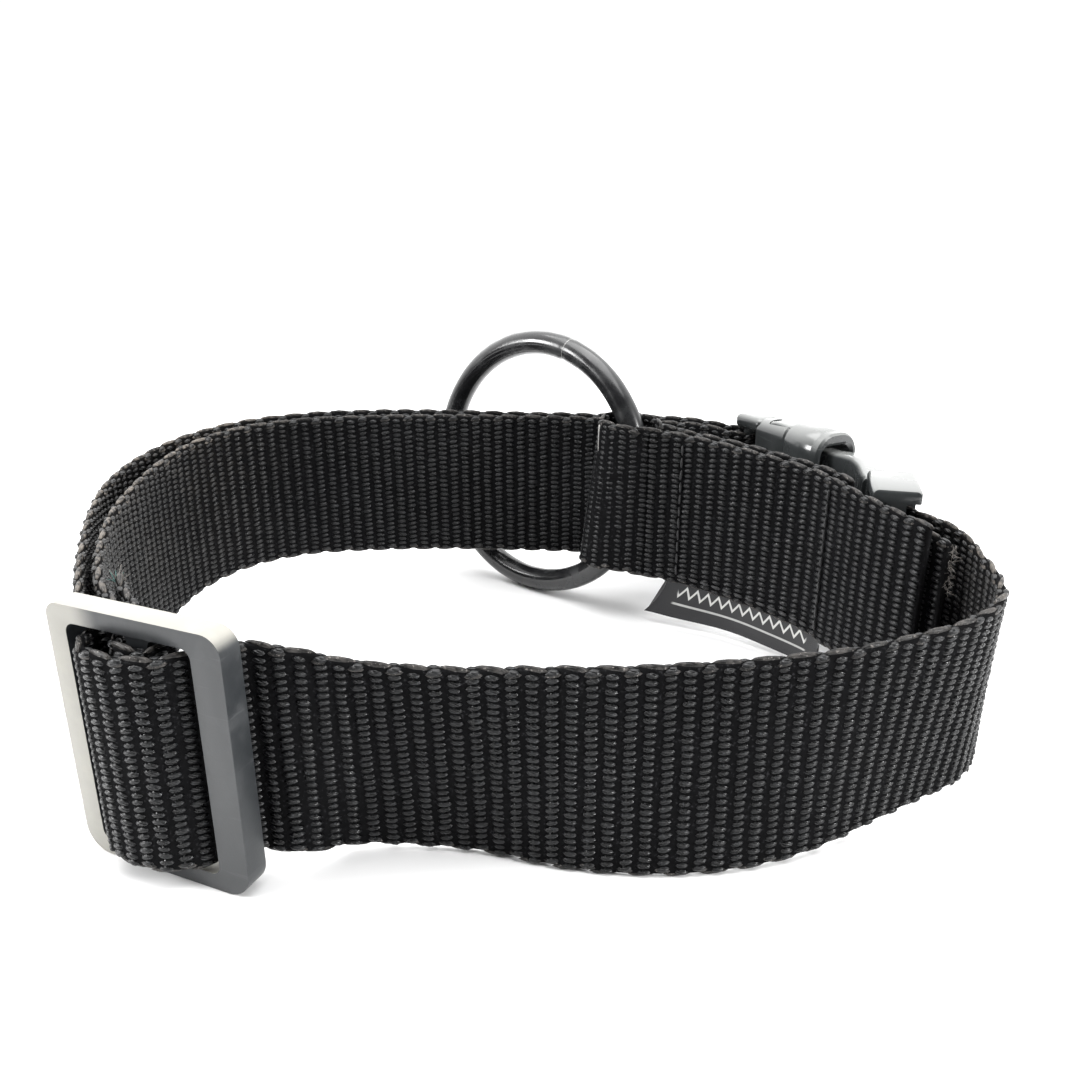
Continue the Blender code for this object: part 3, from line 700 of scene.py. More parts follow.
def webbing(name, band, start, stop, sink=FLOAT_SINK):
    """A stretch of woven strap between two distances, with its ribs on the strap's own count."""
    first = math.ceil((start + 1e-6) / RIB_PITCH - 0.5)
    last = math.floor((stop - 1e-6) / RIB_PITCH - 0.5)
    reaches = (np.arange(first, last + 1) + 0.5) * RIB_PITCH
    values = {"Size Scatter": SIZE_SCATTER, "Seed": 5}
    floats = instanced(name + "_floats", YARN_FLOATS, seats_of(band, reaches, first, sink),
                       {**values, "Face Yarn": NYLON})
    loops = instanced(name + "_loops", YARN_FLOATS, edge_seats(band, reaches, first),
                      {**values, "Face Yarn": NYLON_EDGE_FUZZ_AND_LIGHT})
    core = to_object(name + "_core", core_body(band, start, stop), [NYLON_CORE])
    return join(name, [floats, loops, core])


def slider_point(along_bar, depth):
    cos, sin = math.cos(SLIDER_TURN), math.sin(SLIDER_TURN)
    return (SLIDER_CENTRE[0] + along_bar * cos - depth * sin,
            SLIDER_CENTRE[1] + along_bar * sin + depth * cos)


def slider_points(places):
    return [(*slider_point(u, v), base, 0.0) for u, v, base in places]


def block_point(reach, across):
    side = Vector((-BLOCK_AXIS.y, BLOCK_AXIS.x))
    return (BLOCK_START[0] + BLOCK_AXIS.x * reach + side.x * across,
            BLOCK_START[1] + BLOCK_AXIS.y * reach + side.y * across)


def strap_runs():
    """The long strap, run by run from the slider to the plug, as points (x, y, foot height, lean)."""
    tail = slider_points([
        (-20.4, 15.4, 5.0), (-15.4, 11.8, 4.5), (-10.4, 8.4, 4.2), (-5.6, 5.0, 4.0), (-2.0, 3.05, 4.0)])
    loop = slider_points([
        (0.8, 3.05, 4.0), (2.9, 2.7, 4.0), (3.6, 1.5, 4.0), (3.6, -1.5, 4.0), (2.8, -2.8, 4.0),
        (0.6, -3.05, 4.0), (-1.8, -3.05, 4.0), (-3.8, -2.0, 4.0), (-5.0, -0.3, 4.0), (-6.5, 2.0, 4.0),
        (-9.6, 5.2, 4.2), (-14.6, 8.4, 4.6)])
    inner = [(-74.5, -45.0, 5.0, 0.0), (-80.5, -30.0, 5.8, 0.0), (-85.0, -13.0, 6.6, 0.5),
             (-86.6, 3.0, 7.2, 1.0), (-86.4, 18.0, 7.8, 1.0), (-83.4, 31.5, 8.4, 0.5),
             (-75.5, 43.5, 8.8, 0.0), (-62.3, 50.6, 9.2, 0.0), (-45.0, 53.2, 9.4, 0.0),
             (-25.0, 53.6, 9.6, 0.0), (-5.0, 52.7, 9.6, 0.0), (12.0, 52.0, 9.3, 0.0),
             (28.0, 51.4, 8.6, 0.0), (42.0, 51.0, 7.8, 0.0), (51.0, 51.3, 5.6, 0.0)]
    grip = WEB_BAR_R + 0.3 + WEB_THICK / 2
    turn = []
    for degrees in range(-90, 91, 45):
        angle = math.radians(degrees)
        turn.append((BUCKLE_START[0] + grip * math.cos(angle), BUCKLE_START[1] + grip * math.sin(angle),
                     5.0, 0.0))
    turn.append((51.5, 58.6, 5.6, 0.0))
    outer = [(40.0, 58.2, 7.6, 0.0), (24.0, 57.0, 8.8, 0.0), (8.0, 56.2, 9.4, 0.0),
             (-8.0, 56.3, 9.7, 0.0), (-26.0, 58.0, 9.8, 0.0), (-44.0, 59.0, 9.6, 0.0),
             (-62.0, 57.2, 9.2, 0.0), (-78.0, 50.5, 8.6, 0.0), (-88.6, 38.0, 7.8, 0.0),
             (-93.4, 22.0, 7.0, 0.0), (-93.8, 6.0, 6.3, 0.0), (-90.6, -10.0, 5.6, 0.0),
             (-84.4, -29.0, 5.0, 0.0), (-78.6, -44.0, 4.4, 0.0)]
    over = slider_points([
        (-18.2, 5.4, 4.0), (-14.6, 4.6, 3.9), (-12.0, 3.9, 3.8), (-10.5, 2.3, 3.7), (-10.3, 0.0, 3.7),
        (-9.8, -2.6, 3.7), (-8.0, -4.8, 3.7), (-5.0, -5.6, 3.7), (-1.0, -5.8, 3.7), (3.2, -5.0, 3.7),
        (6.9, -2.7, 3.7), (9.3, 0.8, 3.7), (11.4, 4.2, 3.6), (14.2, 6.1, 3.4), (18.6, 7.4, 3.0)])
    front = [(-30.0, -63.8, 1.0, -5.0), (-20.0, -63.9, 0.4, -6.0), (-9.0, -64.7, 0.0, -5.2),
             (3.0, -66.6, 0.0, -1.6), (14.8, -67.4, 0.0, 0.7), (26.8, -66.5, 0.0, 1.9),
             (38.4, -64.4, 0.2, 1.0), (48.0, -61.6, 0.6, -1.4), (58.2, -57.0, 1.1, -3.6)]
    bend = [(68.4, -51.8, 1.6, -4.6), (76.8, -45.6, 2.0, -2.5), (81.2, -37.8, 2.6, 0.5),
            (82.4, -29.0, 3.4, 2.0), (82.0, -21.5, 4.2, 1.0), (79.6, -15.0, 4.8, 0.0)]
    hold = BLOCK_BAR_HALF + 0.3 + WEB_THICK / 2
    wrap = BLOCK_SLOT[1] - 0.6 - WEB_THICK / 2
    plug = [(*block_point(r, a), 5.0, 0.0) for r, a in (
        (13.4, hold + 1.5), (11.4, hold + 0.5), (wrap + 0.5, hold - 0.6), (wrap, 1.2), (wrap, -1.5),
        (10.6, -hold), (12.4, -hold - 0.4), (15.0, -hold - 0.4))]
    plug += [(71.0, -17.0, 5.2, 0.0), (74.8, -22.2, 4.8, 0.0), (77.5, -28.4, 4.2, 0.0)]
    return [tail, loop, inner, turn, outer, over, front, bend, plug]


def spot(reach):
    """A point on the long strap's middle line, in metres."""
    return Vector(STRAP.at(np.array([reach]))[0][0]) * MM


RUNS = strap_runs()
CURVE, MARKS = fine_curve([point for run in RUNS for point in run])
STRAP = Band(CURVE)
ENDS = [MARKS[k - 1] for k in np.cumsum([len(run) for run in RUNS])]
TAIL_END, LOOP_END, INNER_END, TURN_END, OUTER_END, OVER_END, FRONT_END, BEND_END, PLUG_END = ENDS
SLIDER_MID = (OUTER_END + OVER_END) / 2
FRONT_SPLIT = OVER_END + 42.0
TAIL_END_AT_PLUG = math.floor(PLUG_END / RIB_PITCH) * RIB_PITCH


def dress_strap():
    inner_split, outer_split, socket_split = LOOP_END + 62.0, OUTER_END - 70.0, TURN_END + 60.0
    made = webbing("strap_inner_end_round_slider", STRAP, 0.0, inner_split)
    spot(inner_split - 4.0)
    spot(LOOP_END + 8.0)
    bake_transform(made)
    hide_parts("strap_tail_at_slider", "strap_loop_at_slider")
    for name, start, stop, nodes in (
            ("strap_inner_ply", inner_split, INNER_END - 14.0, ("strap_inner_run",)),
            ("strap_turn_round_socket", INNER_END - 14.0, socket_split, ("strap_loop_at_socket",)),
            ("strap_outer_ply", socket_split, outer_split, ("strap_outer_run",))):
        made = webbing(name, STRAP, start, stop)
        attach(made, "collar")
        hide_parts(*nodes)
    made = webbing("strap_outer_end_into_slider", STRAP, outer_split, SLIDER_MID)
    spot(outer_split + 4.0)
    spot(OUTER_END - 2.0)
    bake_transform(made)
    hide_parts("strap_over_slider")
    made = webbing("strap_front_from_slider", STRAP, SLIDER_MID, FRONT_SPLIT)
    spot(OVER_END + 1.0)
    spot(FRONT_SPLIT - 2.0)
    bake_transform(made)
    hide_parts("strap_over_slider", "strap_front")
    made = webbing("strap_front_to_plug", STRAP, FRONT_SPLIT, BEND_END)
    spot(FRONT_SPLIT + 8.0)
    spot(BEND_END - 4.0)
    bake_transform(made)
    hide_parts("strap_front", "strap_right_bend")
    made = webbing("strap_end_round_plug", STRAP, BEND_END, TAIL_END_AT_PLUG)
    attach(made, "plug")
    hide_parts("strap_loop_at_plug")


# ---------------------------------------------------------------- keeper, label and sewing
KEEPER_CURVE, _ = fine_curve([
    (25.5, 27.6, 12.6, 0.0), (33.0, 24.5, 12.0, 0.0), (42.0, 19.0, 11.2, 0.0), (51.0, 11.8, 10.3, 0.0),
    (59.0, 3.4, 9.5, 0.0), (62.7, -4.6, 9.0, 0.0), (65.6, -12.4, 8.6, 0.0), (68.7, -19.0, 8.2, 0.0),
    (72.9, -25.8, 7.6, 0.0)])
KEEPER = Band(KEEPER_CURVE)


def outward(line):
    tangent = np.gradient(line[:, :2], axis=0)
    tangent /= np.linalg.norm(tangent, axis=1)[:, None]
    side = np.column_stack([tangent[:, 1], -tangent[:, 0]])
    side[np.sum(side * line[:, :2], axis=1) < 0] *= -1
    return side


def stretch(line, start, length, count):
    places = np.linspace(start, start + length, count)
    return np.column_stack([np.interp(places, distances(line), line[:, k]) for k in range(line.shape[1])])


def moved(line, distance):
    shifted = line.copy()
    shifted[:, :2] += outward(line) * distance
    return shifted


def fold_band(start, finish):
    """The keeper's turn round the leaning ring, between its own foot and top lines."""
    foot = (12.6, [(19.0, 30.0), (13.6, 31.8), (10.9, 34.9), (11.6, 39.4), (16.0, 42.2), (22.0, 41.4)])
    top = (50.6, [(21.4, 28.0), (17.2, 31.0), (15.4, 35.0), (16.2, 39.8), (19.6, 42.4), (24.0, 41.6)])
    lines = []
    for height, turn in (foot, top):
        plan = [start] + turn + [(27.6, 37.7), (29.0, 33.2), (30.7, 29.6), finish]
        rise = np.interp(range(len(plan)), (0, 2, 6, len(plan) - 1), (0.0, 0.4, 0.4, 0.0))
        curve, _ = fine_curve([(*point, height + lift, 0.0) for point, lift in zip(plan, rise)])
        lines.append(stretch(curve, 0.0, distances(curve)[-1], 240))
    return Band(lines[0], top=lines[1])


def dress_keeper():
    made = webbing("keeper_inner_run_webbing", KEEPER, 0.0, KEEPER.length)
    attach(made, "collar")
    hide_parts("keeper_inner_run")
    ply = moved(stretch(KEEPER_CURVE, KEEPER_PLY_START, KEEPER_PLY_LENGTH, 120), KEEPER_PLY_GAP)
    outer = Band(ply)
    made = webbing("keeper_outer_ply_webbing", outer, 0.0, outer.length)
    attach(made, "collar")
    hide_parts("keeper_outer_ply")
    fold = fold_band(tuple(KEEPER_CURVE[2][:2]), tuple(ply[2][:2]))
    made = webbing("keeper_fold_webbing", fold, 0.0, fold.length, FLOAT_SINK + FOLD_PRESS)
    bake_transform(made)
    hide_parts("keeper_fold")


def dress_label():
    """Folded satin tape hanging below the keeper, bowed at its left end, with a rolled lower fold."""
    tape = moved(stretch(KEEPER_CURVE, LABEL_START, LABEL_WIDTH, 60), KEEPER_PLY_GAP / 2)
    side = outward(tape)
    ahead = np.gradient(tape[:, :2], axis=0)
    ahead /= np.linalg.norm(ahead, axis=1)[:, None]
    shape = bmesh.new()
    sheet = shape.loops.layers.uv.new("tape")
    rows, grid = 10, []
    for i, (x, y, base, _) in enumerate(tape):
        u = i / (len(tape) - 1)
        bow = 0.4 * (1 - u) * math.sin(u * 11.0)
        drop = LABEL_DROP - 0.6 * u + 0.2 * math.sin(u * 9.0)
        flare = 5.5 * (1 - u) ** 2
        column = []
        for j in range(2 * rows + 1):
            v = min(j, 2 * rows - j) / rows
            face = -1.0 if j <= rows else 1.0
            gap = 0.24 * math.sqrt(1 - v ** 8) + 0.03
            out = face * gap - bow * v - 1.6 * v * v * (1 - u)
            back = flare * v * v
            column.append(shape.verts.new((x + SHIFT[0] + side[i][0] * out - ahead[i][0] * back,
                                           y + SHIFT[1] + side[i][1] * out - ahead[i][1] * back,
                                           base + 2.0 - (drop + 2.0) * v)))
        grid.append(column)
    across = len(grid[0])
    for i in range(len(grid) - 1):
        for j in range(across):
            k = (j + 1) % across
            face = shape.faces.new((grid[i][j], grid[i + 1][j], grid[i + 1][k], grid[i][k]))
            for loop, (a, b) in zip(face.loops, ((i, j), (i + 1, j), (i + 1, k), (i, k))):
                loop[sheet].uv = (a / (len(grid) - 1), 1 - min(b, 2 * rows - b) / rows)
    shape.faces.new(list(reversed(grid[0])))
    shape.faces.new(grid[-1])
    made = sharpen(to_object("label_satin_tape", shape, [LABEL_SATIN]), 60.0)
    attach(made, "collar")
    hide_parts("label")


def stitch_row(name, spots, alongs, outs, body, node, long=2.6, thick=0.62):
    """Sewing: one rounded thread for each stitch, pulled into the webbing at its ends."""
    count = len(spots)
    seats = {"place": np.array(spots) * MM, "size": np.tile((long, thick, thick), (count, 1)) * MM,
             "turn": turns(alongs, np.cross(outs, alongs), outs, rng.normal(0.0, 0.06, count))}
    made = instanced(name, YARN_FLOATS, seats, {"Size Scatter": 0.04, "Seed": 3, "Face Yarn": THREAD})
    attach(made, body)
    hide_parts(node)


def row_across(band, reach, face, margin=2.6, pitch=3.0):
    """Stitches up the strap, at one distance along it."""
    middle, _, up, out = (line[0] for line in band.at(np.array([reach])))
    heights = np.arange(-WEB_WIDTH / 2 + margin + pitch / 2, WEB_WIDTH / 2 - margin, pitch)
    spots = [middle + up * h + out * face * (WEB_THICK / 2 + 0.05) for h in heights]
    return spots, [up] * len(spots), [out * face] * len(spots)


def row_along(band, start, stop, height, face, pitch=3.0):
    """Stitches along the strap at one height."""
    reaches = np.arange(start, stop, pitch)
    middle, along, up, out = band.at(reaches)
    spots = middle + up * height + out * face * (WEB_THICK / 2 + 0.05)
    return list(spots), list(along), list(out * face)


def inner_face(band, reach):
    """Which way along the strap's own normal the middle of the collar lies."""
    middle, _, _, out = (line[0] for line in band.at(np.array([reach])))
    return -1.0 if np.dot(middle[:2], out[:2]) > 0 else 1.0


def dress_sewing():
    near, far = KEEPER_PLY_START, KEEPER_PLY_START + KEEPER_PLY_LENGTH
    face = inner_face(KEEPER, near + 5.0)
    for name, reach, node in (("keeper_sewing_left", near + 1.85, "keeper_stitches_left"),
                              ("keeper_sewing_right", far - 1.65, "keeper_stitches_right")):
        stitch_row(name, *row_across(KEEPER, reach, face), "collar", node)
    low_row = row_along(KEEPER, near + 3.5, far - 3.0, -WEB_WIDTH / 2 + 2.6, face)
    stitch_row("label_sewing", *low_row, "collar", "label_stitches")
    for name, reach, body, node in (
            ("slider_tail_sewing", 4.35, "collar", "tail_stitches_at_slider"),
            ("plug_tail_sewing", PLUG_END - 6.65, "plug", "tail_stitches_at_plug")):
        stitch_row(name, *row_across(STRAP, reach, inner_face(STRAP, reach)), body, node)


# ---------------------------------------------------------------- ring
def dress_ring():
    radius = RING_OUTER_R - RING_WIRE_R
    leg = Vector((math.cos(RING_TURN), math.sin(RING_TURN), 0.0)) * radius
    rise = radius * math.cos(RING_LEAN) + RING_WIRE_R
    centre = Vector((RING_CENTRE[0] + SHIFT[0], RING_CENTRE[1] + SHIFT[1], rise)) + leg
    place = (Matrix.Translation(centre) @ Matrix.Rotation(RING_TURN, 4, "Z")
             @ Matrix.Rotation(-RING_LEAN, 4, "X") @ Matrix.Translation(Vector((-radius, 0, 0))))
    turns_round, sides = 220, 40

    def wire_section(turn, wire):
        section = []
        for k in range(sides):
            angle = 2 * math.pi * k / sides
            out = radius + wire * math.cos(angle)
            spot = Vector((out * math.cos(turn), wire * math.sin(angle), out * math.sin(turn)))
            section.append(place @ spot)
        return section

    sections = []
    for i in range(turns_round):
        near = min(i, turns_round - i)
        wire = RING_WIRE_R * (1 - 0.055 * math.exp(-(near / 0.6) ** 2))
        sections.append(wire_section(RING_JOINT + 2 * math.pi * i / turns_round, wire))
    made = to_object("leash_ring_wire", loft(sections, closed=True), [RING_LACQUER])
    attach(made, "ring")
    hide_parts("leash_ring")
    line = [wire_section(RING_JOINT + JOINT_ARC * (i / 4 - 0.5), RING_WIRE_R * (0.952 if 0 < i < 4 else 0.93))
            for i in range(5)]
    seam = to_object("leash_ring_joint", loft(line), [joint_finish()])
    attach(seam, "ring")


# ---------------------------------------------------------------- slider
def bevelled(made, width, segments, angle=40.0):
    step = made.modifiers.new("edges", "BEVEL")
    step.width = width * MM
    step.segments = segments
    step.limit_method = "ANGLE"
    step.angle_limit = math.radians(angle)
    return applied(made)


def plate(outline, thick, place, rear=None):
    """A flat plate from an outline in X and Z, centred on Y; its rear face may have an outline of its own."""
    faces = ((-1.0, outline), (1.0, rear or outline))
    return loft([[place @ Vector((x, side * thick / 2, z)) for x, z in face] for side, face in faces])


def cornered(half, tall, corners, steps=8):
    """Rectangle whose corners, from top right round by the left, each have a radius of their own."""
    points = []
    for (side, height, start), corner in zip(((1, 1, 0), (-1, 1, 90), (-1, -1, 180), (1, -1, 270)), corners):
        for k in range(steps + 1):
            turn = math.radians(start + 90.0 * k / steps)
            points.append((side * (half - corner) + corner * math.cos(turn),
                           height * (tall - corner) + corner * math.sin(turn)))
    return points


def dress_slider():
    centre = Vector(SLIDER_CENTRE) + Vector((SHIFT[0], SHIFT[1], 0.0))
    place = Matrix.Translation(centre) @ Matrix.Rotation(SLIDER_TURN, 4, "Z")
    corners = cornered(SLIDER_LENGTH / 2, SLIDER_HEIGHT / 2, SLIDER_CORNERS)
    outline = [(x - SLIDER_OVERHANG, z) for x, z in corners]
    body = to_object("slider_frame", plate(outline, SLIDER_THICK, place), [SLIDER_PLASTIC])
    bar, tall = CENTRE_BAR_WIDTH / 2, WINDOW_HEIGHT / 2
    for low, front, rear in ((-WINDOW_LENGTH / 2 - LEFT_EASE, -bar, -bar),
                             (bar, RIGHT_LIP, WINDOW_LENGTH / 2 + RIGHT_LIP_SLOPE)):
        faces = []
        for high in (front, rear):
            middle, wide = (low + high) / 2, (high - low) / 2
            faces.append([(x + middle, z) for x, z in rounded(wide, -tall, tall, WINDOW_CORNER, 6)])
        boolean(body, to_object("hole", plate(faces[0], SLIDER_THICK * 1.3, place, faces[1]), []))
    for sign in (-1.0, 1.0):
        near, far = sorted((1.5 * sign, 4.0 * sign))
        relief = box((-bar - 0.9, near, -tall + 0.02), (bar + 0.9, far, tall - 0.02), place)
        boolean(body, to_object("relief", relief, []))
    bevelled(body, SLIDER_BEVEL, 5)
    sharpen(body, 50.0)
    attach(body, "slider")
    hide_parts("slider")


# ---------------------------------------------------------------- buckle
def buckle_sections(rows, place, steps=8):
    """Rounded sections along a placement's X, from rows of (reach, half width, foot, top, corner)."""
    return [[place @ Vector((reach, across, up)) for across, up in rounded(half, low, high, corner, steps)]
            for reach, half, low, high, corner in rows]


def dress_socket():
    place = frame_at(BUCKLE_START, BUCKLE_AXIS)
    top = BUCKLE_HEIGHT
    crown = top + SHELL_RISE
    waist, mouth_end = SHELL_STEP, SHELL_MOUTH
    rows = [(SHELL_REAR, 3.3, 0.6, top - 0.6, 2.8), (SHELL_REAR + 0.5, 3.8, 0.25, top - 0.2, 3.2),
            (SHELL_REAR + 5.0, 4.2, 0.3, top + 0.3, 3.6), (waist - 1.2, 4.6, 0.4, crown - 0.6, 4.0),
            (waist - 0.5, 4.25, 0.8, crown - 1.0, 3.9), (waist, 4.4, 0.7, crown - 0.9, 3.9),
            (waist + 0.35, 5.4, 0.15, crown - 0.2, 4.7), (waist + 2.0, 5.8, 0.05, crown - 0.05, 5.0),
            (waist + 5.0, 6.2, 0.0, crown, 5.2), (mouth_end - 3.4, 6.4, 0.0, crown, 5.3),
            (mouth_end - 2.9, 6.15, 0.25, crown - 0.25, 5.1),
            (mouth_end - 2.5, 6.15, 0.25, crown - 0.25, 5.1), (mouth_end - 2.1, 6.5, 0.0, crown, 5.4),
            (mouth_end - 0.6, 6.45, 0.05, crown - 0.05, 5.4), (mouth_end, 5.9, 0.5, crown - 0.5, 4.9)]
    shell = to_object("buckle_socket_shell", loft(buckle_sections(rows, place)), [BUCKLE_PLASTIC])
    floor, roof = 2.6, top - 2.6
    mouth = [(7.8, 2.9, floor, roof, 1.2), (waist, 2.9, floor, roof, 1.2),
             (waist + 3.0, 4.4, floor, roof, 2.8), (mouth_end - 0.7, 4.9, floor - 0.4, roof + 1.0, 3.0),
             (mouth_end + 0.4, 5.6, floor - 1.0, roof + 2.2, 3.4),
             (mouth_end + 1.0, 5.9, 1.2, crown - 1.0, 3.6)]
    boolean(shell, to_object("mouth", loft(buckle_sections(mouth, place)), []))
    for base, high in ((-1.0, 6.0), (top - 6.0, crown + 1.0)):
        window = box((waist - 8.5, -2.9, base), (waist - 0.3, 2.9, high), place)
        upright = [e for e in window.edges if abs((e.verts[0].co - e.verts[1].co).z) > 1.0]
        bmesh.ops.bevel(window, geom=upright, offset=0.7, segments=3, affect="EDGES", profile=0.5)
        boolean(shell, to_object("window", window, []))
    for base in (0.2, top - 4.0):
        rail = box((-3.1, -3.7, base), (SHELL_REAR + 1.4, 3.7, base + 3.8), place)
        bmesh.ops.bevel(rail, geom=rail.edges[:], offset=1.6, segments=5, affect="EDGES", profile=0.5)
        boolean(shell, to_object("rail", rail, []), "UNION")
    post = bmesh.new()
    bmesh.ops.create_cone(post, cap_ends=True, segments=32, radius1=WEB_BAR_R, radius2=WEB_BAR_R,
                          depth=top - 3.0, matrix=place @ Matrix.Translation(Vector((0, 0, top / 2))))
    boolean(shell, to_object("post", post, []), "UNION")
    sharpen(shell, 32.0)
    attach(shell, "collar")
    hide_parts("buckle_socket")


def in_buckle(x, y):
    """A plan point in the buckle's own directions: along it and across it."""
    side = Vector((-BUCKLE_AXIS.y, BUCKLE_AXIS.x))
    offset = Vector((x - BUCKLE_START[0], y - BUCKLE_START[1]))
    return offset.x * BUCKLE_AXIS.x + offset.y * BUCKLE_AXIS.y, offset.dot(side)


def arm_line(tip):
    """Middle line of a plug arm, from its tip inside the socket to its root in the block."""
    root = in_buckle(*block_point(0.3, -2.6))
    near = in_buckle(*block_point(-3.4, -2.6))
    points = [(tip, 0.0), (SHELL_STEP, 0.0), (SHELL_MOUTH - 2.0, 0.0), (SHELL_MOUTH + 8.0, -0.3), near, root]
    curve, _ = fine_curve([(x, y, 0.0, 0.0) for x, y in points])
    return stretch(curve, 0.0, distances(curve)[-1], 44)


def swept_arm(line, profile, place):
    """A bar along a plan line, whose section is given for each share of its length."""
    tangent = np.gradient(line[:, :2], axis=0)
    tangent /= np.linalg.norm(tangent, axis=1)[:, None]
    last = len(line) - 1
    sections = []
    for i, (station, direction) in enumerate(zip(line, tangent)):
        sections.append([place @ Vector((station[0] - direction[1] * across,
                                         station[1] + direction[0] * across, up))
                         for across, up in profile(i / last)])
    return loft(sections)


def dress_arms():
    place = frame_at(BUCKLE_START, BUCKLE_AXIS)
    line = arm_line(9.4)
    for name, body, node, flip in (("prong_lower_arm", "lower_prong", "lower", False),
                                   ("prong_upper_arm", "upper_prong", "upper", True)):
        def section(share, flip=flip):
            nose = min(1.0, 0.45 + share * 9.0)
            flare = 0.75 * min(1.0, max(0.0, (share - 0.45) / 0.2))
            low, high = 3.1 + (1 - nose) * 1.2 - flare * 1.4, 7.1 + flare * 5.5
            if flip:
                low, high = BUCKLE_HEIGHT - high, BUCKLE_HEIGHT - low
            return rounded(2.3 * (0.75 + 0.25 * nose) + flare, low, high, 0.9 + flare, 5)

        arm = to_object(name, swept_arm(line, section, place), [BUCKLE_PLASTIC])
        barb = []
        for reach, depth in ((9.8, 1.9), (10.3, 2.3), (12.0, 2.5), (17.2, 2.5), (17.5, 2.2)):
            low, high = 3.2 - depth, 3.4
            if flip:
                low, high = BUCKLE_HEIGHT - high, BUCKLE_HEIGHT - low + SHELL_RISE * 0.7
            barb.append((reach, 2.75, low, high, 0.7))
        boolean(arm, to_object("barb", loft(buckle_sections(barb, place, 3)), []), "UNION")
        sharpen(arm, 40.0)
        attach(arm, body)
        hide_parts("prong_" + node, "barb_" + node)
    tongue_line = arm_line(16.0)
    middle = BUCKLE_HEIGHT / 2

    def blade(share):
        nose = min(1.0, 0.5 + share * 7.0)
        return rounded(1.6 * (0.7 + 0.3 * nose), middle - 6.0 * nose, middle + 6.0 * nose, 0.8, 5)

    tongue = sharpen(to_object("guide_tongue", swept_arm(tongue_line, blade, place), [BUCKLE_PLASTIC]), 40.0)
    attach(tongue, "plug")
    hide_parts("plug_guide_tongue")


def dress_plug_base():
    place = frame_at(BLOCK_START, BLOCK_AXIS)
    top = BUCKLE_HEIGHT
    half = BLOCK_HALF
    end = BLOCK_LENGTH
    rows = [(0.0, half - 0.9, 0.9, top - 0.9, 1.0), (0.4, half - 0.25, 0.25, top - 0.25, 1.2),
            (1.2, half, 0.0, top, 1.3), (6.0, half, 0.0, top, 1.3), (end - 1.0, half - 0.1, 0.0, top, 1.3),
            (end - 0.25, half - 0.35, 0.25, top - 0.25, 1.2), (end, half - 0.8, 0.7, top - 0.7, 1.0)]
    block = to_object("plug_base_block", loft(buckle_sections(rows, place)), [BUCKLE_PLASTIC])
    low, high = BLOCK_SLOT_Z
    slot = box((BLOCK_SLOT[0], -half - 1, low), (BLOCK_SLOT[1], half + 1, high), place)
    lips = [e for e in slot.edges if abs((e.verts[0].co - e.verts[1].co).z) < 1.0 and e.calc_length() > 8.0]
    bmesh.ops.bevel(slot, geom=lips, offset=0.8, segments=3, affect="EDGES", profile=0.5)
    boolean(block, to_object("slot", slot, []))
    for sign in (-1.0, 1.0):
        near, far = sorted((BLOCK_BAR_HALF * sign, (half + 1) * sign))
        relief = box((BLOCK_SLOT[1] - 1.0, near, low), (end + 1, far, high), place)
        boolean(block, to_object("relief", relief, []))
    sharpen(block, 32.0)
    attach(block, "plug")
    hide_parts("buckle_plug_base")


# ---------------------------------------------------------------- loose threads
def wisp(name, starts, direction, length, count, spread, surface, body, radius=0.11, curl_size=0.6):
    """Little tufts of frayed yarn, one at each start."""
    shape = bmesh.new()
    around = [2 * math.pi * k / WISP_SIDES for k in range(WISP_SIDES)]
    for start in starts:
        for _ in range(count):
            heading = (Vector(direction) + Vector(rng.normal(0.0, spread, 3))).normalized()
            curl = Vector(rng.normal(0.0, curl_size, 3))
            reach = length * rng.uniform(0.6, 1.0)
            root = Vector(start) + Vector(rng.normal(0.0, 0.25, 3))
            side = heading.orthogonal().normalized()
            other = heading.cross(side)
            previous = None
            for k in range(WISP_STEPS + 1):
                t = k / WISP_STEPS
                centre = root + heading * reach * t + curl * reach * 0.35 * t * t
                wide = radius * (1 - 0.5 * t)
                ring = [shape.verts.new(centre + side * math.cos(a) * wide + other * math.sin(a) * wide)
                        for a in around]
                if previous:
                    for i in range(WISP_SIDES):
                        j = (i + 1) % WISP_SIDES
                        shape.faces.new((previous[i], previous[j], ring[j], ring[i]))
                else:
                    shape.faces.new(list(reversed(ring)))
                previous = ring
            shape.faces.new(previous)
    made = to_object(name, shape, [surface])
    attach(made, body)


def dress_loose_threads():
    middle, along, up, _ = (line[0] for line in STRAP.at(np.array([0.6])))
    backwards = -along + up * 0.3
    wisp("frayed_teal_tuft", [middle + up * h for h in (12.0, 16.5)], backwards, 3.6, 6, 0.5,
         TEAL_THREAD, "collar")
    wisp("frayed_end_at_slider", [middle + up * h for h in np.arange(2.0, 18.5, 0.8)], backwards, 2.6, 7, 0.6,
         LINT_THREAD, "collar", 0.09)
    middle, along, up, _ = (line[0] for line in STRAP.at(np.array([PLUG_END - 1.2])))
    wisp("frayed_end_at_plug", [middle + up * h for h in np.arange(9.0, 18.5, 0.9)], along, 1.5, 5, 0.7,
         LINT_THREAD, "plug", 0.07)
    edge = (STRAY_START[0] + SHIFT[0], STRAY_START[1] + SHIFT[1], STRAY_START[2])
    wisp("stray_white_thread", [edge], (-0.08, -0.02, -1.0), 9.0, 1, 0.02, WHITE_THREAD, "ring", 0.16, 0.08)


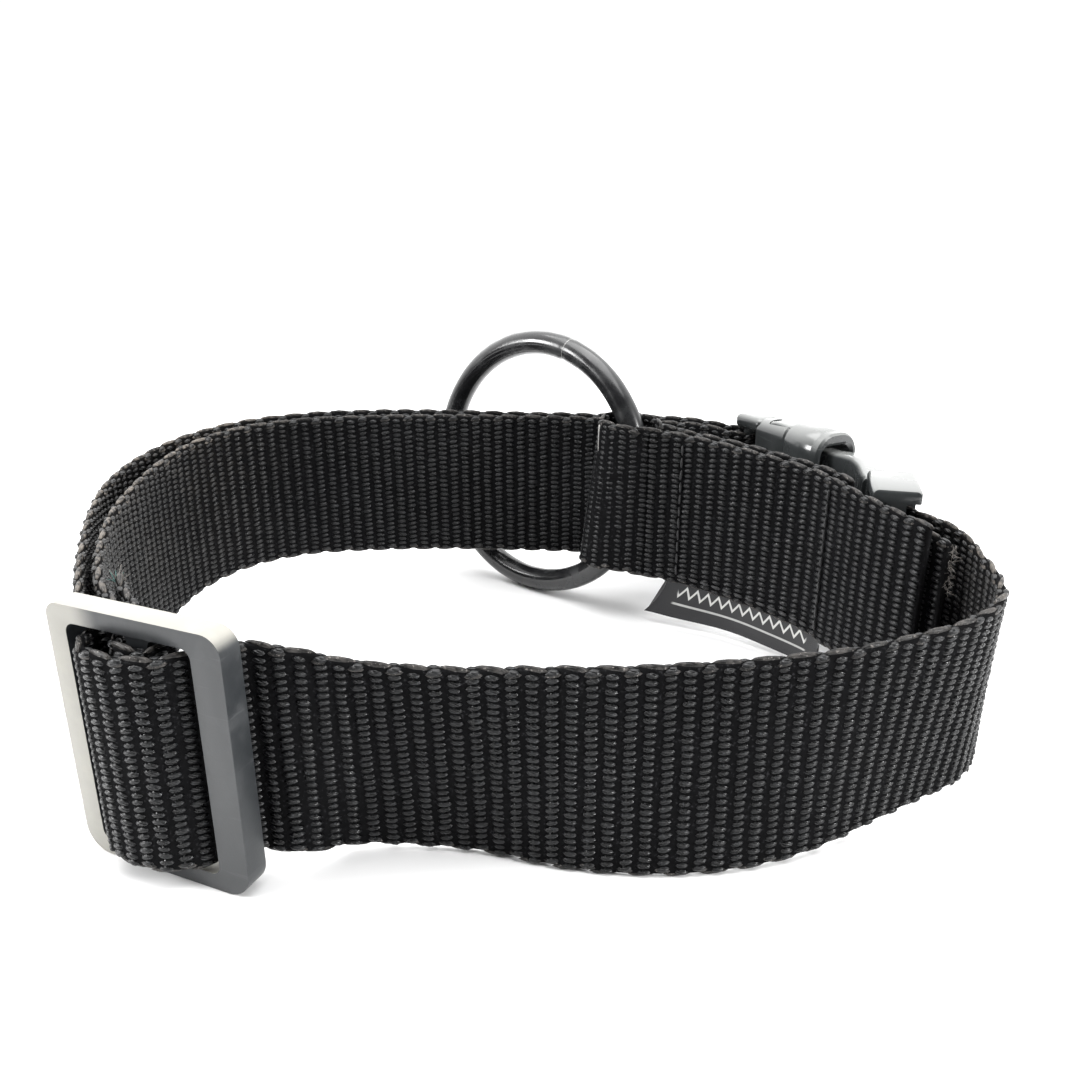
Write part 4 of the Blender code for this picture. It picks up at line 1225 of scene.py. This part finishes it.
# ---------------------------------------------------------------- set, light and camera
def sky():
    """White to the eye, but lit as a room with a bright wall and ceiling behind the collar."""
    world = bpy.data.worlds.new("studio")
    bpy.context.scene.world = world
    world.use_nodes = True
    tree = world.node_tree
    back = tree.nodes["Background"]
    way = tree.nodes.new("ShaderNodeSeparateXYZ")
    tree.links.new(tree.nodes.new("ShaderNodeTexCoord").outputs["Generated"], way.inputs[0])
    x, y, z = (Value(tree, way.outputs[k]) for k in range(3))
    behind = y * 0.75 + z * 0.55 - x * 0.15
    ramp = tree.nodes.new("ShaderNodeMapRange")
    ramp.interpolation_type = "SMOOTHSTEP"
    for key, item in (("Value", behind), ("From Min", -0.15), ("From Max", 0.75), ("To Min", DIM_WALL),
                      ("To Max", BRIGHT_WALL)):
        feed(tree, ramp.inputs[key], item)
    seen = Value(tree, tree.nodes.new("ShaderNodeLightPath").outputs["Is Camera Ray"])
    feed(tree, back.inputs[1], seen * BACKDROP + (1 - seen) * Value(tree, ramp.outputs[0]))
    back.inputs[0].default_value = (1.0, 1.0, 1.0, 1.0)


def studio():
    sky()
    shape = bmesh.new()
    bmesh.ops.create_circle(shape, cap_ends=True, segments=96, radius=FLOOR_RADIUS)
    paper = Finish("studio_paper", (0.93, 0.93, 0.93), 0.9)
    fibre = paper.noise(paper.place(), 30.0)
    paper.set("Base Color", paper.mix(fibre, (0.92, 0.92, 0.92), (0.94, 0.94, 0.94)))
    floor = to_object("studio_floor", shape, [paper.material])
    for name, spot_at, aim, size, power in (
            ("overhead_softbox", (0.0, 0.02, 0.80), (0.0, 0.0, 0.02), 0.8, 8.5),
            ("front_window", (0.88, -0.40, 0.44), (0.02, -0.03, 0.02), 0.20, 10.0),
            ("left_window", (-0.85, -0.16, 0.34), (-0.05, -0.03, 0.02), 0.30, 7.0)):
        lamp = bpy.data.lights.new(name, "AREA")
        lamp.shape = "SQUARE"
        lamp.size = size
        lamp.energy = power
        made = bpy.data.objects.new(name, lamp)
        bpy.context.scene.collection.objects.link(made)
        made.location = spot_at
        made.rotation_euler = (Vector(aim) - Vector(spot_at)).to_track_quat("-Z", "Y").to_euler()
    lens = bpy.data.cameras.new("camera")
    lens.sensor_width = EYE_SENSOR
    lens.lens = EYE_LENS
    lens.clip_start = 0.01
    eye = bpy.data.objects.new("camera", lens)
    bpy.context.scene.collection.objects.link(eye)
    eye.location = (SHIFT[0] * MM, (SHIFT[1] - EYE_BACK) * MM, EYE_HEIGHT * MM)
    eye.rotation_euler = (EYE_TILT, 0.0, 0.0)
    bpy.context.scene.camera = eye
    bpy.context.scene.view_settings.view_transform = "Standard"


studio()
dress_strap()
dress_keeper()
dress_label()
dress_sewing()
dress_ring()
dress_slider()
dress_socket()
dress_arms()
dress_plug_base()
dress_loose_threads()
